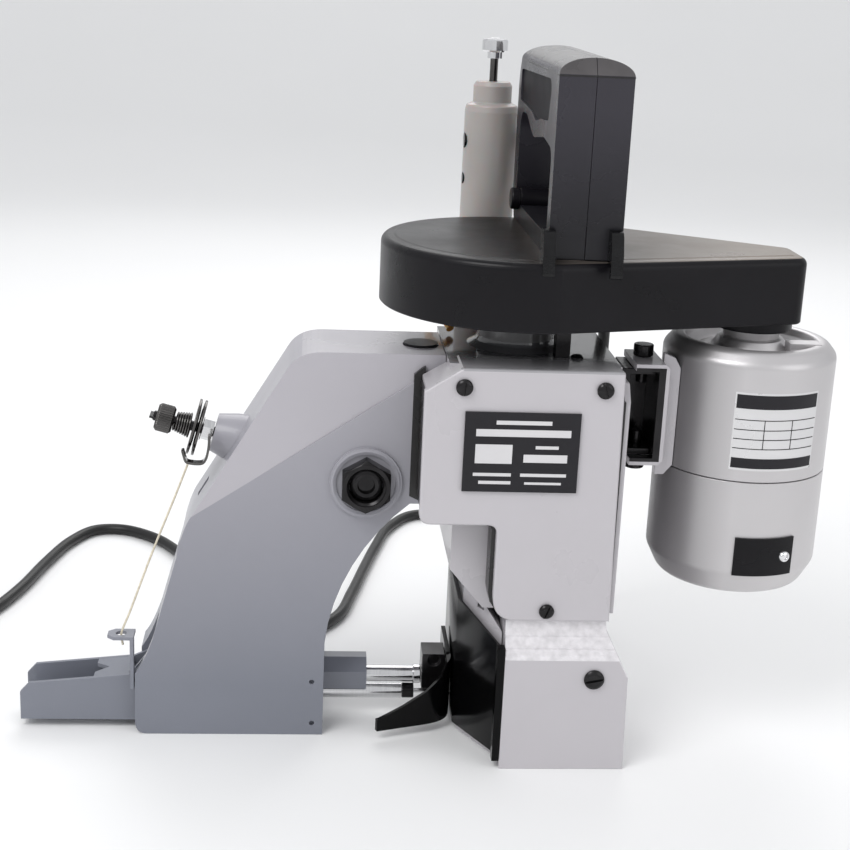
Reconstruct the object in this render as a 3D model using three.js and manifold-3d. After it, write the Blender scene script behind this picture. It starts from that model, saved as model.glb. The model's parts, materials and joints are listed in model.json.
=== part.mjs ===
// Portable bag closer sewing machine: a hand-held chain-stitch head with a horizontal needle.
// Units are millimetres. +X runs from the thread side to the motor, +Y to the rear, +Z up.
// The origin is on the floor, under the axis of the vertical main shaft.
import * as THREE from 'three';
import * as BufferGeometryUtils from 'three/addons/utils/BufferGeometryUtils.js';
import Module from 'manifold-3d';

const wasm = await Module();
wasm.setup();

// ---------------------------------------------------------------- driving dimensions
const GAP = 0.3; // clearance between touching pieces

const FRAME = {
  left: -33, right: 41, front: -40, rear: 30, top: 181.5, splitZ: 70, // rear column
  chamberFront: -51, chamberRear: -27.3, wall: 5,
  throatLeft: -28.5, throatTop: 113.7, throatSlopeTop: 88,
};
const PLATE = { thick: 3.7, left: -44.3, right: 41.2, top: 183, stepZ: 114, bottom: 70.2, cutX: -10.7 };
const NECK = { r: 17, flareR: 22, bore: 8, top: 200.2 };
const SHAFT = { x: 0, y: 0, r: 6, bottom: 76, top: 225 };
const ARM = { front: -27, rear: 19.5, wall: 4.5, right: -33.3, top: 181 };
const PIVOT = { x: -66.2, z: 123.3, r: 7, bossR: 16 }; // rocking shaft of the needle lever
const BARS = { y: -3, needleZ: 11.1, needleR: 3.6, presserZ: 19.9, presserR: 3.9 };
const DRIVE = {
  stroke: 28, pinX: -112, pinZ: 34, pinR: 3, slotHalf: 4.3, upperArm: 30,
  leverY: [5, 9.8], eccentricR: 10, strapInner: 17.6, strapOuter: 21.5,
};
// The lever's swing over one stroke, and how far its upper end then moves the rod.
const SWING = Math.atan2(PIVOT.x - DRIVE.pinX + DRIVE.stroke, PIVOT.z - DRIVE.pinZ)
  - Math.atan2(PIVOT.x - DRIVE.pinX, PIVOT.z - DRIVE.pinZ);
const ROD_TRAVEL = DRIVE.upperArm * Math.sin(SWING);
const COVER = { bigR: 62, smallR: 15, bottom: 200, top: 229, wall: 2.5 };
const MOTOR = { x: 103, y: -14, r: 38, bottom: 80, seam: 134.5, top: 191, collarR: 12.5, collarTop: 200.2 };
const PULLEY = { bigR: 50, smallR: 7.7, bottom: 208, top: 220, belt: 1.8 };
const HANDLE = {
  left: 3.5, right: 34, parting: 18.75, front: -53, rear: 61, bottom: 231, top: 309,
  postIn: [-45, 52], deckTop: 238, gripUnder: 274,
};
const PUMP = {
  x: -7.6, y: 76, r: 12.8, wall: 2.2, neckR: 9.2, shelf: 178, shoulder: 280, top: 291,
  stemR: 1.9, pistonZ: 232, nutZ: 301.5, knobTop: 311,
};
const THROAT = { x: -22, thick: 2.2, bottom: 4, flareStart: -21, flareEnd: -48.5, flareX: -7 };
const LIFTER = { x: [-220, -168.5], y: [-21, 1], z: 4, sheet: 1.8, pivotX: -146, pivotZ: 48 };
const TENSION = { x: -141.2, y: -2, z: 139.3, tiltDeg: 15, discR: 12.8, knobR: 6 };
const CORD = { r: 3.1, floorZ: 3.4, sides: 8 };

// ---------------------------------------------------------------- colours and finishes
const finish = (color, roughness, metalness) => (
  new THREE.MeshStandardMaterial({ color, roughness, metalness })
);
const ENAMEL = finish(0xb3b4ba, 0.38, 0.15);
const BLACK_ENAMEL = finish(0x111113, 0.25, 0.2);
const BLACK_PLASTIC = finish(0x17171a, 0.5, 0.0);
const BLACK_STEEL = finish(0x1b1b1e, 0.35, 0.85);
const BRIGHT_STEEL = finish(0xb9bbbf, 0.18, 1.0);
const SILVER = finish(0xb4b5b8, 0.34, 0.8);
const WHITE_PLASTIC = finish(0xdedfda, 0.4, 0.0);
const AMBER = finish(0xb5762a, 0.3, 0.0);
const RUBBER = finish(0x141414, 0.65, 0.0);
const COTTON = finish(0xd8cfb8, 0.9, 0.0);

const machine = new THREE.Group();

// ---------------------------------------------------------------- solid helpers
const toSolid = (geometry) => {
  const bare = geometry.index ? geometry : geometry.clone();
  bare.deleteAttribute('normal');
  bare.deleteAttribute('uv');
  const merged = BufferGeometryUtils.mergeVertices(bare, 1e-4);
  return new wasm.Manifold(new wasm.Mesh({
    numProp: 3,
    vertProperties: new Float32Array(merged.attributes.position.array),
    triVerts: new Uint32Array(merged.index.array),
  }));
};
const toGeometry = (solid) => {
  const mesh = solid.getMesh();
  const geometry = new THREE.BufferGeometry();
  geometry.setAttribute('position', new THREE.BufferAttribute(new Float32Array(mesh.vertProperties), 3));
  geometry.setIndex(new THREE.BufferAttribute(new Uint32Array(mesh.triVerts), 1));
  geometry.computeVertexNormals();
  return geometry;
};
const join = (...solids) => solids.reduce((all, one) => all.add(one));
const cut = (solid, ...tools) => tools.reduce((left, tool) => left.subtract(tool), solid);
const add = (name, solid, material) => {
  const mesh = new THREE.Mesh(toGeometry(solid), material);
  mesh.name = name;
  machine.add(mesh);
  return mesh;
};

const box = ([x0, x1], [y0, y1], [z0, z1]) => {
  const geometry = new THREE.BoxGeometry(x1 - x0, y1 - y0, z1 - z0);
  geometry.translate((x0 + x1) / 2, (y0 + y1) / 2, (z0 + z1) / 2);
  return toSolid(geometry);
};

// An outline in two of the row's axes, pushed along the third one.
const PLANES = {
  xy: (a, b, c) => [a, b, c],
  xz: (a, b, c) => [a, -c, b],
  yz: (a, b, c) => [c, a, b],
};
const outline = (points) => {
  if (points instanceof THREE.Shape) return points;
  return new THREE.Shape(points.map(([a, b]) => new THREE.Vector2(a, b)));
};
const push = (plane, points, from, to, curveSegments = 8) => {
  const low = plane === 'xz' ? -to : from;
  const options = { depth: to - from, bevelEnabled: false, curveSegments };
  const geometry = new THREE.ExtrudeGeometry(outline(points), options);
  geometry.translate(0, 0, low);
  const position = geometry.attributes.position;
  for (let i = 0; i < position.count; i += 1) {
    position.setXYZ(i, ...PLANES[plane](position.getX(i), position.getY(i), position.getZ(i)));
  }
  return toSolid(geometry);
};

// A round piece along one axis: at gives the centre on the other two axes, in X, Y, Z order.
const rod = (axis, at, r, from, to, sides = 24, endR = r) => {
  const geometry = new THREE.CylinderGeometry(endR, r, to - from, sides);
  const middle = (from + to) / 2;
  if (axis === 'x') {
    geometry.rotateZ(-Math.PI / 2);
    geometry.translate(middle, at[0], at[1]);
  } else if (axis === 'y') {
    geometry.translate(at[0], middle, at[1]);
  } else {
    geometry.rotateX(Math.PI / 2);
    geometry.translate(at[0], at[1], middle);
  }
  return toSolid(geometry);
};

// A closed half section, turned into points that run up its outer side so that its faces point out.
const closedSection = (section) => {
  const points = section.map(([r, z]) => new THREE.Vector2(r, z));
  if (THREE.ShapeUtils.area(points) < 0) points.reverse();
  return [...points, points[0]];
};

// A turned piece on a vertical axis, from its half section [radius, height].
const turned = ([x, y], section, sides = 32) => {
  const geometry = new THREE.LatheGeometry(closedSection(section), sides);
  geometry.rotateX(Math.PI / 2);
  geometry.translate(x, y, 0);
  return toSolid(geometry);
};

// A round tube along a smooth curve through the given points.
const tube = (points, r, steps, sides = 8) => {
  const path = new THREE.CatmullRomCurve3(points.map((p) => new THREE.Vector3(...p)), false, 'centripetal');
  const ring = Array.from({ length: sides }, (_, i) => {
    const turn = (i / sides) * 2 * Math.PI;
    return [r * Math.cos(turn), r * Math.sin(turn)];
  });
  const options = { steps, extrudePath: path, bevelEnabled: false };
  return toSolid(new THREE.ExtrudeGeometry(outline(ring), options));
};

// ---------------------------------------------------------------- main frame
const plateOutline = (inset) => {
  const s = new THREE.Shape();
  const { left, right, top, stepZ, bottom, cutX } = PLATE;
  const l = left + inset;
  const t = top - inset;
  s.moveTo(l, stepZ + 5);
  s.lineTo(l, 172.9);
  s.lineTo(-28.6 + inset / 2, t);
  s.lineTo(right - 1.5, t);
  s.lineTo(right - inset, bottom + inset);
  s.lineTo(cutX + 10 + inset, bottom + inset);
  s.quadraticCurveTo(cutX + inset, bottom + inset, cutX + inset, bottom + 12);
  s.lineTo(cutX + inset, stepZ - 4 + inset);
  s.quadraticCurveTo(cutX + inset, stepZ + inset, cutX - 4, stepZ + inset);
  s.lineTo(l + 5, stepZ + inset);
  s.quadraticCurveTo(l, stepZ + inset, l, stepZ + 5);
  return s;
};

const frameHousing = () => {
  const { left, right, front, rear, top, splitZ, chamberFront, wall } = FRAME;
  const chamber = push('xz', plateOutline(1), chamberFront, FRAME.chamberRear);
  const column = push('xz', [
    [left, FRAME.throatTop], [left, top], [right, top], [right, splitZ], [-13.1, splitZ],
    [FRAME.throatLeft, FRAME.throatSlopeTop], [FRAME.throatLeft, FRAME.throatTop],
  ], front, rear);
  const foot = box([-19.5, 50], [-5.7, rear], [0, splitZ + 2]);
  const cheek = cut(
    push('xy', [[-19.5, -5], [-19.5, -20], [-4.5, -46.5], [-4.5, -5]], 0, 80),
    push('xz', [[-22, 81.8], [-4, 60.4], [-4, 90], [-22, 90]], -60, 0),
  );
  const neck = turned([SHAFT.x, SHAFT.y], [
    [0, top - 6], [NECK.flareR, top - 6], [NECK.flareR, top], [NECK.r + 1.4, top + 2], [NECK.r, top + 5],
    [NECK.r, NECK.top], [0, NECK.top],
  ]);
  const pumpShelf = join(
    box([PUMP.x - 10, PUMP.x + 10], [rear - 2, PUMP.y], [PUMP.shelf - 7, PUMP.shelf]),
    rod('z', [PUMP.x, PUMP.y], 14, PUMP.shelf - 7, PUMP.shelf, 28),
    push('yz', [[rear - 1, 150], [rear - 1, 172], [rear + 26, 172]], PUMP.x - 3, PUMP.x + 3),
  );
  const solid = join(chamber, column, foot, cheek, neck, pumpShelf);
  return cut(
    solid,
    box([-38, 35], [chamberFront - 1, -33], [121, 176]), // behind the front cover plate
    box([-5, 35], [chamberFront - 1, -33], [76, 130]),
    box([-27, 35], [-34, rear - 4], [119, 176]),
    box([-23, 35], [-34, rear - 4], [92, 125]),
    box([-14, 35], [-34, rear - 4], [66, 95]),
    box([-45, -25], [-20, 13], [126, 171]), // way through to the arm
    box([-14, 45], [-7, rear - 4], [4, 64.7]), // looper chamber
    box([-14, 0], [-30, 0], [4, 60]),
    box([-25, -10], [-12, rear - 3], [2.5, 26]), // window behind the throat plate
    rod('z', [SHAFT.x, SHAFT.y], NECK.bore, 170, NECK.top + 1),
    box([wall, 30], [-8, 8], [60, 70]),
  );
};

const frontCoverPlate = () => {
  const y1 = FRAME.chamberFront - GAP;
  return push('xz', plateOutline(0), y1 - PLATE.thick, y1);
};

// The nameplate is blank but for a raised border.
const nameplate = () => {
  const y1 = FRAME.chamberFront - 2 * GAP - PLATE.thick;
  return cut(
    box([-27, 22], [y1 - 0.9, y1], [129.9, 164.9]),
    box([-25.6, 20.6], [y1 - 2, y1 - 0.6], [131.3, 163.5]),
  );
};

const slottedScrew = (x, z, r, y1, height) => {
  const head = join(
    rod('y', [x, z], r, y1 - height, y1, 28),
    rod('y', [x, z], r * 0.8, y1 - height - 0.5, y1 - height + 0.1, 28),
  );
  return cut(head, box([x - r * 0.14, x + r * 0.14], [y1 - height - 1, y1 - height + 0.7], [z - r, z + r]));
};

// The looper cover closes the lower front: a cast block with two sloped shoulders.
const looperCover = () => {
  const inFront = push('xz', [[-4, 0], [52, 0], [51, 45], [41, 64.6], [40.5, 69.4], [-4, 69.4]], -55, -6);
  const inSide = push('yz', [[-55, 0], [-55, 54.5], [-52.3, 62.5], [-47, 69.7], [-6, 69.7], [-6, 0]], -5, 53);
  return cut(
    inFront.intersect(inSide),
    box([0.5, 47], [-50.5, -5], [4, 50]),
    box([0.5, 36], [-45, -5], [4, 65]),
    box([-6, 2], [-32, -5], [2, 61]),
  );
};

// Closing plate on the right flank, held by screws.
const sideCoverPlate = () => push('yz', [
  [-50, 72], [-50, 168], [-44, 176], [24, 176], [28, 172], [28, 76], [24, 72],
], FRAME.right + GAP, FRAME.right + 2.8);

const throatPlate = () => {
  const { x, thick, bottom, flareStart, flareEnd, flareX } = THROAT;
  const plan = [
    [x, 29], [x, flareStart], [flareX, flareEnd], [flareX, -54], [flareX + thick, -54],
    [flareX + thick, flareEnd - 0.4], [x + thick, flareStart + 0.6], [x + thick, 29],
  ];
  return cut(
    push('xy', plan, bottom, 70),
    push('xz', [[x - 2, 67.5], [flareX + 4, 54.5], [flareX + 4, 75], [x - 2, 75]], -60, 40),
    rod('x', [BARS.y, BARS.needleZ], 2.2, -30, -10, 16),
    box([-30, -10], [1, 27.5], [14.8, 21.8]), // feed dog slot
  );
};

// ---------------------------------------------------------------- arm
const archCurve = (shape, shift) => {
  const d = shift;
  shape.lineTo(-82.4 - d, 46 + d / 4);
  shape.bezierCurveTo(-80.5 - d, 72 + d / 4, -66 - d / 2, 98 + d, -46.4 - d / 4, 113.6 + d);
  shape.lineTo(ARM.right + 4 * (d > 0), 113.6 + d);
};
const armOutline = () => {
  const s = new THREE.Shape();
  s.moveTo(ARM.right, ARM.top);
  s.lineTo(-86, ARM.top);
  s.quadraticCurveTo(-97, ARM.top, -101.5, 173.5);
  s.lineTo(-143.5, 104);
  s.quadraticCurveTo(-147.3, 96.5, -149, 86);
  s.lineTo(-159.4, 47.6);
  s.quadraticCurveTo(-163.5, 35, -167.5, 30);
  s.lineTo(-167.7, 5.8);
  s.quadraticCurveTo(-167.7, 0, -162, 0);
  s.lineTo(-82.4, 0);
  archCurve(s, 0);
  return s;
};
const armPocket = () => {
  const s = new THREE.Shape();
  s.moveTo(ARM.right + 4, 176.2);
  s.lineTo(-85, 176.2);
  s.lineTo(-97, 171.5);
  s.lineTo(-139.4, 101.5);
  s.lineTo(-144.6, 84.6);
  s.lineTo(-155.4, 46);
  s.lineTo(-163, 28);
  s.lineTo(-163, -4);
  s.lineTo(-87, -4);
  archCurve(s, ARM.wall);
  return s;
};

const tensionTilt = THREE.MathUtils.degToRad(TENSION.tiltDeg);
const tensionAxis = new THREE.Vector3(-Math.cos(tensionTilt), 0, Math.sin(tensionTilt));
// A turned piece on the tension axis, from its half section [radius, distance along the axis].
const onTensionAxis = (section, sides = 24) => {
  const geometry = new THREE.LatheGeometry(closedSection(section), sides);
  const turn = new THREE.Quaternion().setFromUnitVectors(new THREE.Vector3(0, 1, 0), tensionAxis);
  geometry.applyQuaternion(turn);
  geometry.translate(TENSION.x, TENSION.y, TENSION.z);
  return toSolid(geometry);
};

const armCasting = () => {
  const { front, rear, wall } = ARM;
  const shell = cut(
    push('xz', armOutline(), front, rear),
    push('xz', armPocket(), front + wall, rear - wall),
  );
  const leaningFacet = push('yz', [[front - 1, 100], [front - 1, 185], [front + 2.6, 185]], -150, -30);
  const facetRegion = push('xz', [[-140.3, 107], [-32, 178.9], [-32, 190], [-150, 190], [-150, 107]], -40, 0);
  const pivotBoss = cut(
    rod('y', [PIVOT.x, PIVOT.z], PIVOT.bossR, front - 2, front + 1, 40),
    rod('y', [PIVOT.x, PIVOT.z], PIVOT.bossR - 1.6, front - 3, front - 1, 40),
  );
  const barBoss = push('yz', [[-10, 15.1], [-10, 23.6], [-3, 28.2], [3, 28.2], [6, 24], [6, 15.1]], -83, -62);
  const tensionBoss = onTensionAxis([[0, -26], [12.5, -26], [11, -16], [8.6, -7.4], [0, -7.4]]);
  const solid = join(cut(shell, leaningFacet.intersect(facetRegion)), pivotBoss, barBoss, tensionBoss);
  return cut(
    solid,
    push('xz', armPocket(), front + wall, rear - wall),
    rod('y', [PIVOT.x, PIVOT.z], PIVOT.r + GAP, front - 4, rear + 1, 32),
    rod('x', [BARS.y, BARS.needleZ], BARS.needleR + 0.1, -95, -75, 24),
    rod('x', [BARS.y, BARS.presserZ], BARS.presserR + 0.1, -95, -55, 24),
    box([-172, -150], [-22.2, 2.2], [-1, 50]), // slot for the lifting lever
    onTensionAxis([[0, -40], [2.9, -40], [2.9, 0], [0, 0]], 16),
    rod('z', [-43, -5], 8, ARM.top - 1.2, ARM.top + 1, 28), // seat of the oil hole plug
    rod('z', [-43, -5], 5, ARM.top - 8, ARM.top, 20),
    rod('y', [-87.8, 26.6], 1.2, front - 1, front + 2, 12),
    rod('y', [-87.4, 5.8], 1.2, front - 1, front + 2, 12),
    box([-141, -134], [-6, 0], [106, 116]), // thread slot in the slanted flank
  );
};

const oilHolePlug = () => join(
  rod('z', [-43, -5], 7.7, ARM.top - 0.9, ARM.top + 1, 28),
  rod('z', [-43, -5], 4.7, ARM.top - 6, ARM.top - 0.8, 20),
);

// ---------------------------------------------------------------- needle drive
const leverShaft = () => cut(
  rod('y', [PIVOT.x, PIVOT.z], PIVOT.r, ARM.front - 6, ARM.rear + 3, 32),
  rod('y', [PIVOT.x, PIVOT.z], 3.7, ARM.front - 7, ARM.front - 1, 20),
);
const leverShaftNut = () => cut(
  rod('y', [PIVOT.x, PIVOT.z], 12.2, ARM.front - 8.5, ARM.front - 1 - GAP, 6),
  rod('y', [PIVOT.x, PIVOT.z], PIVOT.r + GAP, ARM.front - 10, ARM.front, 32),
);

const needleLever = () => {
  const [y0, y1] = DRIVE.leverY;
  const reach = new THREE.Vector2(DRIVE.pinX - PIVOT.x, DRIVE.pinZ - PIVOT.z);
  const along = reach.clone().normalize();
  const across = new THREE.Vector2(-along.y, along.x);
  const at = (distance, side) => [
    PIVOT.x + along.x * distance + across.x * side,
    PIVOT.z + along.y * distance + across.y * side,
  ];
  const pinAt = reach.length();
  const tip = pinAt + 20;
  const fork = [
    at(0, -8), at(pinAt - 16, -6.5), at(pinAt - 6, -8.6), at(tip, -8.6), at(tip, -DRIVE.slotHalf),
    at(pinAt - 5, -DRIVE.slotHalf), at(pinAt - 5, DRIVE.slotHalf), at(tip, DRIVE.slotHalf), at(tip, 8.6),
    at(pinAt - 6, 8.6), at(pinAt - 16, 6.5), at(0, 8),
  ];
  const arm = push('xz', fork, y0, y1);
  const upper = push('xz', [
    [PIVOT.x - 7, PIVOT.z], [PIVOT.x + 7, PIVOT.z], [PIVOT.x + 5, PIVOT.z + DRIVE.upperArm],
    [PIVOT.x - 5, PIVOT.z + DRIVE.upperArm],
  ], y0, y1);
  const eye = rod('y', [PIVOT.x, PIVOT.z + DRIVE.upperArm], 5.5, y0, y1, 24);
  const hub = rod('y', [PIVOT.x, PIVOT.z], 11, ARM.front + ARM.wall + 1, ARM.rear - ARM.wall - 1, 32);
  const crankPin = rod('y', [PIVOT.x, PIVOT.z + DRIVE.upperArm], 2.5, -3.6, y0 + 1, 20);
  return cut(join(arm, upper, eye, hub, crankPin), rod('y', [PIVOT.x, PIVOT.z], PIVOT.r + 0.08, -40, 40, 32));
};

// The rod's strap is open enough for the eccentric to turn freely inside it at any lever position.
const connectingRod = () => {
  const z = PIVOT.z + DRIVE.upperArm;
  const strapX = -ROD_TRAVEL / 2;
  const solid = join(
    rod('y', [PIVOT.x, z], 5.2, -3.4, 3.4, 24),
    box([PIVOT.x + 3, strapX - DRIVE.strapInner - 1], [-3.4, 3.4], [z - 2.5, z + 2.5]),
    rod('z', [strapX, 0], DRIVE.strapOuter, z - 2.5, z + 2.5, 36),
  );
  return cut(
    solid,
    rod('z', [strapX, 0], DRIVE.strapInner, z - 5, z + 5, 36),
    rod('y', [PIVOT.x, z], 2.6, -5, 5, 20),
  );
};

const driveEccentric = () => {
  const z = PIVOT.z + DRIVE.upperArm;
  const offset = -ROD_TRAVEL / 2;
  return cut(
    join(
      rod('z', [SHAFT.x + offset, SHAFT.y], DRIVE.eccentricR, z - 3.5, z + 3.5, 32),
      rod('z', [SHAFT.x, SHAFT.y], 10.5, z - 14, z - 3.4, 32),
    ),
    rod('z', [SHAFT.x, SHAFT.y], SHAFT.r + GAP, z - 20, z + 20, 28),
  );
};

const needleBar = () => {
  const { y, needleZ, needleR } = BARS;
  return join(
    rod('x', [y, needleZ], needleR, -123.5, -45, 24),
    box([DRIVE.pinX - 5, DRIVE.pinX + 5], [y - 4.6, 4.4], [6.2, 14.5]),
    box([DRIVE.pinX - 4, DRIVE.pinX + 4], [2.4, 4.4], [7, DRIVE.pinZ + 4]),
    rod('y', [DRIVE.pinX, DRIVE.pinZ], DRIVE.pinR, 2.6, DRIVE.leverY[1] + 1.5, 20),
  );
};
const needleClampNut = () => rod('x', [BARS.y, BARS.needleZ], 4, -45 + GAP, -39.2, 6);
const needle = () => join(
  rod('x', [BARS.y, BARS.needleZ], 1.1, -39.2 + GAP, -9, 12),
  rod('x', [BARS.y, BARS.needleZ], 1.1, -9.1, -4.5, 12, 0.15),
);

// ---------------------------------------------------------------- presser
const presserBar = () => join(
  rod('x', [BARS.y, BARS.presserZ], BARS.presserR, -159, -39.6, 24),
  rod('x', [BARS.y, BARS.presserZ], 7, -156, -152.4, 24), // thrust collar for the lever
  rod('x', [BARS.y, BARS.presserZ], 4.5, -39.8, -36.4, 24),
);
const presserSpring = () => {
  const turns = 8;
  const steps = turns * 9;
  const points = Array.from({ length: steps + 1 }, (_, i) => {
    const turn = (i / steps) * turns * 2 * Math.PI;
    return [-146 + (i / steps) * 56, BARS.y + 4.6 * Math.cos(turn), BARS.presserZ + 4.6 * Math.sin(turn)];
  });
  return tube(points, 0.42, steps, 4);
};
const footClamp = () => cut(
  box([-36.1, -25.3], [-10, 4], [15.4, 33]),
  rod('y', [-30.5, 30], 2.8, -11, -8.6, 20),
);
const presserFoot = () => {
  const soleX = -23;
  const plan = new THREE.Shape();
  plan.moveTo(soleX, 21);
  plan.lineTo(soleX, -12);
  plan.quadraticCurveTo(soleX - 0.5, -21, -34, -25);
  plan.lineTo(-57.5, -32.5);
  plan.lineTo(-58.3, -30.6);
  plan.lineTo(-34.6, -22.8);
  plan.quadraticCurveTo(soleX - 2.5, -19, soleX - 2, -11.5);
  plan.lineTo(soleX - 2, 21);
  const aboveHorn = push('xz', [
    [-62, 10], [-57, 10.5], [-46, 15], [-35, 21], [-28, 27], [-25.2, 33], [-20, 34.5], [-20, 60], [-62, 60],
  ], -60, -9);
  return cut(
    push('xy', plan, 4.6, 34, 8),
    aboveHorn,
    rod('x', [BARS.y, BARS.needleZ], 2.4, -30, -20, 16),
  );
};

// ---------------------------------------------------------------- presser lifting lever
const liftLever = () => {
  const { x, y, z, sheet, pivotX, pivotZ } = LIFTER;
  const flank = [[x[0], z], [x[0], 17.5], [x[0] + 4, 22], [-171, 26.5]];
  const longFlank = [
    ...flank, [pivotX - 4.5, pivotZ + 5], [pivotX + 5, pivotZ + 5], [pivotX + 5, pivotZ - 6],
    [pivotX + 2, 23.4], [-152, 23.4], [-166, z],
  ];
  const shortFlank = [...flank, [-163, 30], [-161, 26], [-166, z]];
  const bottom = box([x[0], -166.5], [y[0], y[1]], [z, z + sheet]);
  const top = cut(
    push('xz', [[-187, 24.85], [-171, 26.4], [-171, 24.6], [-187, 23.05]], y[0], y[1]),
    push('xy', [[-190, -17], [-181, -10], [-190, -3]], 20, 30),
  );
  const pushPin = rod('y', [-149.6, 26.2], 2.1, y[0] + 1, 1, 16);
  const hub = rod('y', [pivotX, pivotZ], 5, y[0], 2, 20);
  const solid = join(
    push('xz', longFlank, y[0], y[0] + sheet),
    push('xz', shortFlank, y[1] - sheet, y[1]),
    bottom, top, pushPin, hub,
  );
  return cut(solid, rod('y', [pivotX, pivotZ], 2.7, -40, 40, 16));
};
const lifterPin = () => {
  const { front, rear, wall } = ARM;
  return rod('y', [LIFTER.pivotX, LIFTER.pivotZ], 2.4, front + wall + GAP, rear - wall - GAP, 20);
};

const threadGuide = () => join(
  box([-169.8, -168.1], [-26.6, -23], [22, 47]),
  cut(
    push('xy', [
      [-180, -24], [-177, -26.6], [-168.1, -26.6], [-168.1, -17], [-177, -17], [-180, -19.5],
    ], 46, 47.6),
    rod('z', [-174, -21.7], 2.4, 40, 50, 16),
  ),
);

// ---------------------------------------------------------------- thread tension
const tensionPost = () => join(
  onTensionAxis([[0, -24], [2.5, -24], [2.5, 20.5], [0, 20.5]], 16),
  onTensionAxis([[0, -6.9], [4.8, -6.9], [4.8, -1.9], [0, -1.9]], 6),
);
const tensionDiscs = () => onTensionAxis([
  [2.9, -1.6], [9, -1.4], [TENSION.discR, -2.2], [TENSION.discR, -1.4], [9, -0.1], [9, 0.5],
  [TENSION.discR, 1.8], [TENSION.discR, 2.6], [9, 1.8], [2.9, 2],
]);
const tensionSpring = () => {
  const side = new THREE.Vector3(0, 1, 0);
  const up = new THREE.Vector3().crossVectors(tensionAxis, side);
  const turns = 5;
  const steps = turns * 9;
  const points = Array.from({ length: steps + 1 }, (_, i) => {
    const part = i / steps;
    const turn = part * turns * 2 * Math.PI;
    const r = 5.6 - 1.6 * part;
    const p = new THREE.Vector3(TENSION.x, TENSION.y, TENSION.z)
      .addScaledVector(tensionAxis, 3 + part * 7.6)
      .addScaledVector(side, r * Math.cos(turn))
      .addScaledVector(up, r * Math.sin(turn));
    return [p.x, p.y, p.z];
  });
  return tube(points, 0.5, steps, 4);
};
const tensionKnob = () => onTensionAxis([
  [2.8, 11.5], [TENSION.knobR - 0.8, 11.5], [TENSION.knobR, 12.3], [TENSION.knobR, 17.7],
  [TENSION.knobR - 0.8, 18.5], [2.8, 18.5],
], 24);
const threadHook = () => push('xz', [
  [-133.6, 139], [-135, 139.4], [-138, 127.2], [-145.2, 127.4], [-147.5, 134], [-149, 133.6],
  [-146.4, 125.8], [-136.9, 125.6],
], -18, -16.2);

// ---------------------------------------------------------------- belt drive
// Two round ends, one about the main shaft and one about the point end, joined by their common tangents.
const COVER_END = { x: MOTOR.x + 6, y: MOTOR.y };
const hullOutline = (bigR, smallR, end) => {
  const heading = Math.atan2(end.y, end.x);
  const lean = Math.acos((bigR - smallR) / Math.hypot(end.x, end.y));
  const s = new THREE.Shape();
  s.absarc(SHAFT.x, SHAFT.y, bigR, heading + lean, heading - lean + 2 * Math.PI, false);
  s.absarc(end.x, end.y, smallR, heading - lean, heading + lean, false);
  return s;
};
const coverOutline = (inset) => hullOutline(COVER.bigR - inset, COVER.smallR - inset, COVER_END);
const beltOutline = (outset) => hullOutline(PULLEY.bigR + outset, PULLEY.smallR + outset, MOTOR);
const beltCover = () => cut(
  push('xy', coverOutline(0), COVER.bottom, COVER.top, 22),
  push('xy', coverOutline(COVER.wall), COVER.bottom - 1, COVER.top - COVER.wall, 22),
);
const beltCoverBase = () => cut(
  push('xy', coverOutline(COVER.wall + GAP), COVER.bottom + 0.5, COVER.bottom + 3, 18),
  rod('z', [SHAFT.x, SHAFT.y], 9, 190, 210, 28),
  rod('z', [MOTOR.x, MOTOR.y], 6, 190, 210, 24),
);
const timingBelt = () => cut(
  push('xy', beltOutline(GAP + PULLEY.belt), PULLEY.bottom + 1.5, PULLEY.top - 1.5, 16),
  push('xy', beltOutline(GAP), PULLEY.bottom, PULLEY.top, 16),
);
const mainPulley = () => {
  const { bigR, bottom, top } = PULLEY;
  const holes = Array.from({ length: 4 }, (_, i) => {
    const turn = (i + 0.5) * Math.PI / 2;
    return rod('z', [29 * Math.cos(turn), 29 * Math.sin(turn)], 9, bottom - 1, top + 1, 14);
  });
  const disc = turned([SHAFT.x, SHAFT.y], [
    [SHAFT.r + GAP, bottom - 4], [13, bottom - 4], [13, bottom + 3], [bigR - 5, bottom + 3],
    [bigR - 5, bottom], [bigR, bottom], [bigR, top], [bigR - 5, top], [bigR - 5, top - 3],
    [13, top - 3], [13, top + 2], [SHAFT.r + GAP, top + 2],
  ], 36);
  return cut(disc, ...holes);
};
const mainShaft = () => join(
  rod('z', [SHAFT.x, SHAFT.y], SHAFT.r, SHAFT.bottom, SHAFT.top, 28),
  rod('z', [SHAFT.x, SHAFT.y], 10, SHAFT.bottom, SHAFT.bottom + 8, 28),
);
const motorPulley = () => cut(
  rod('z', [MOTOR.x, MOTOR.y], PULLEY.smallR, PULLEY.bottom, PULLEY.top, 24),
  rod('z', [MOTOR.x, MOTOR.y], 4 + GAP, PULLEY.bottom - 1, PULLEY.top + 1, 20),
);
const motorShaft = () => rod('z', [MOTOR.x, MOTOR.y], 4, 150, 223, 20);

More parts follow.
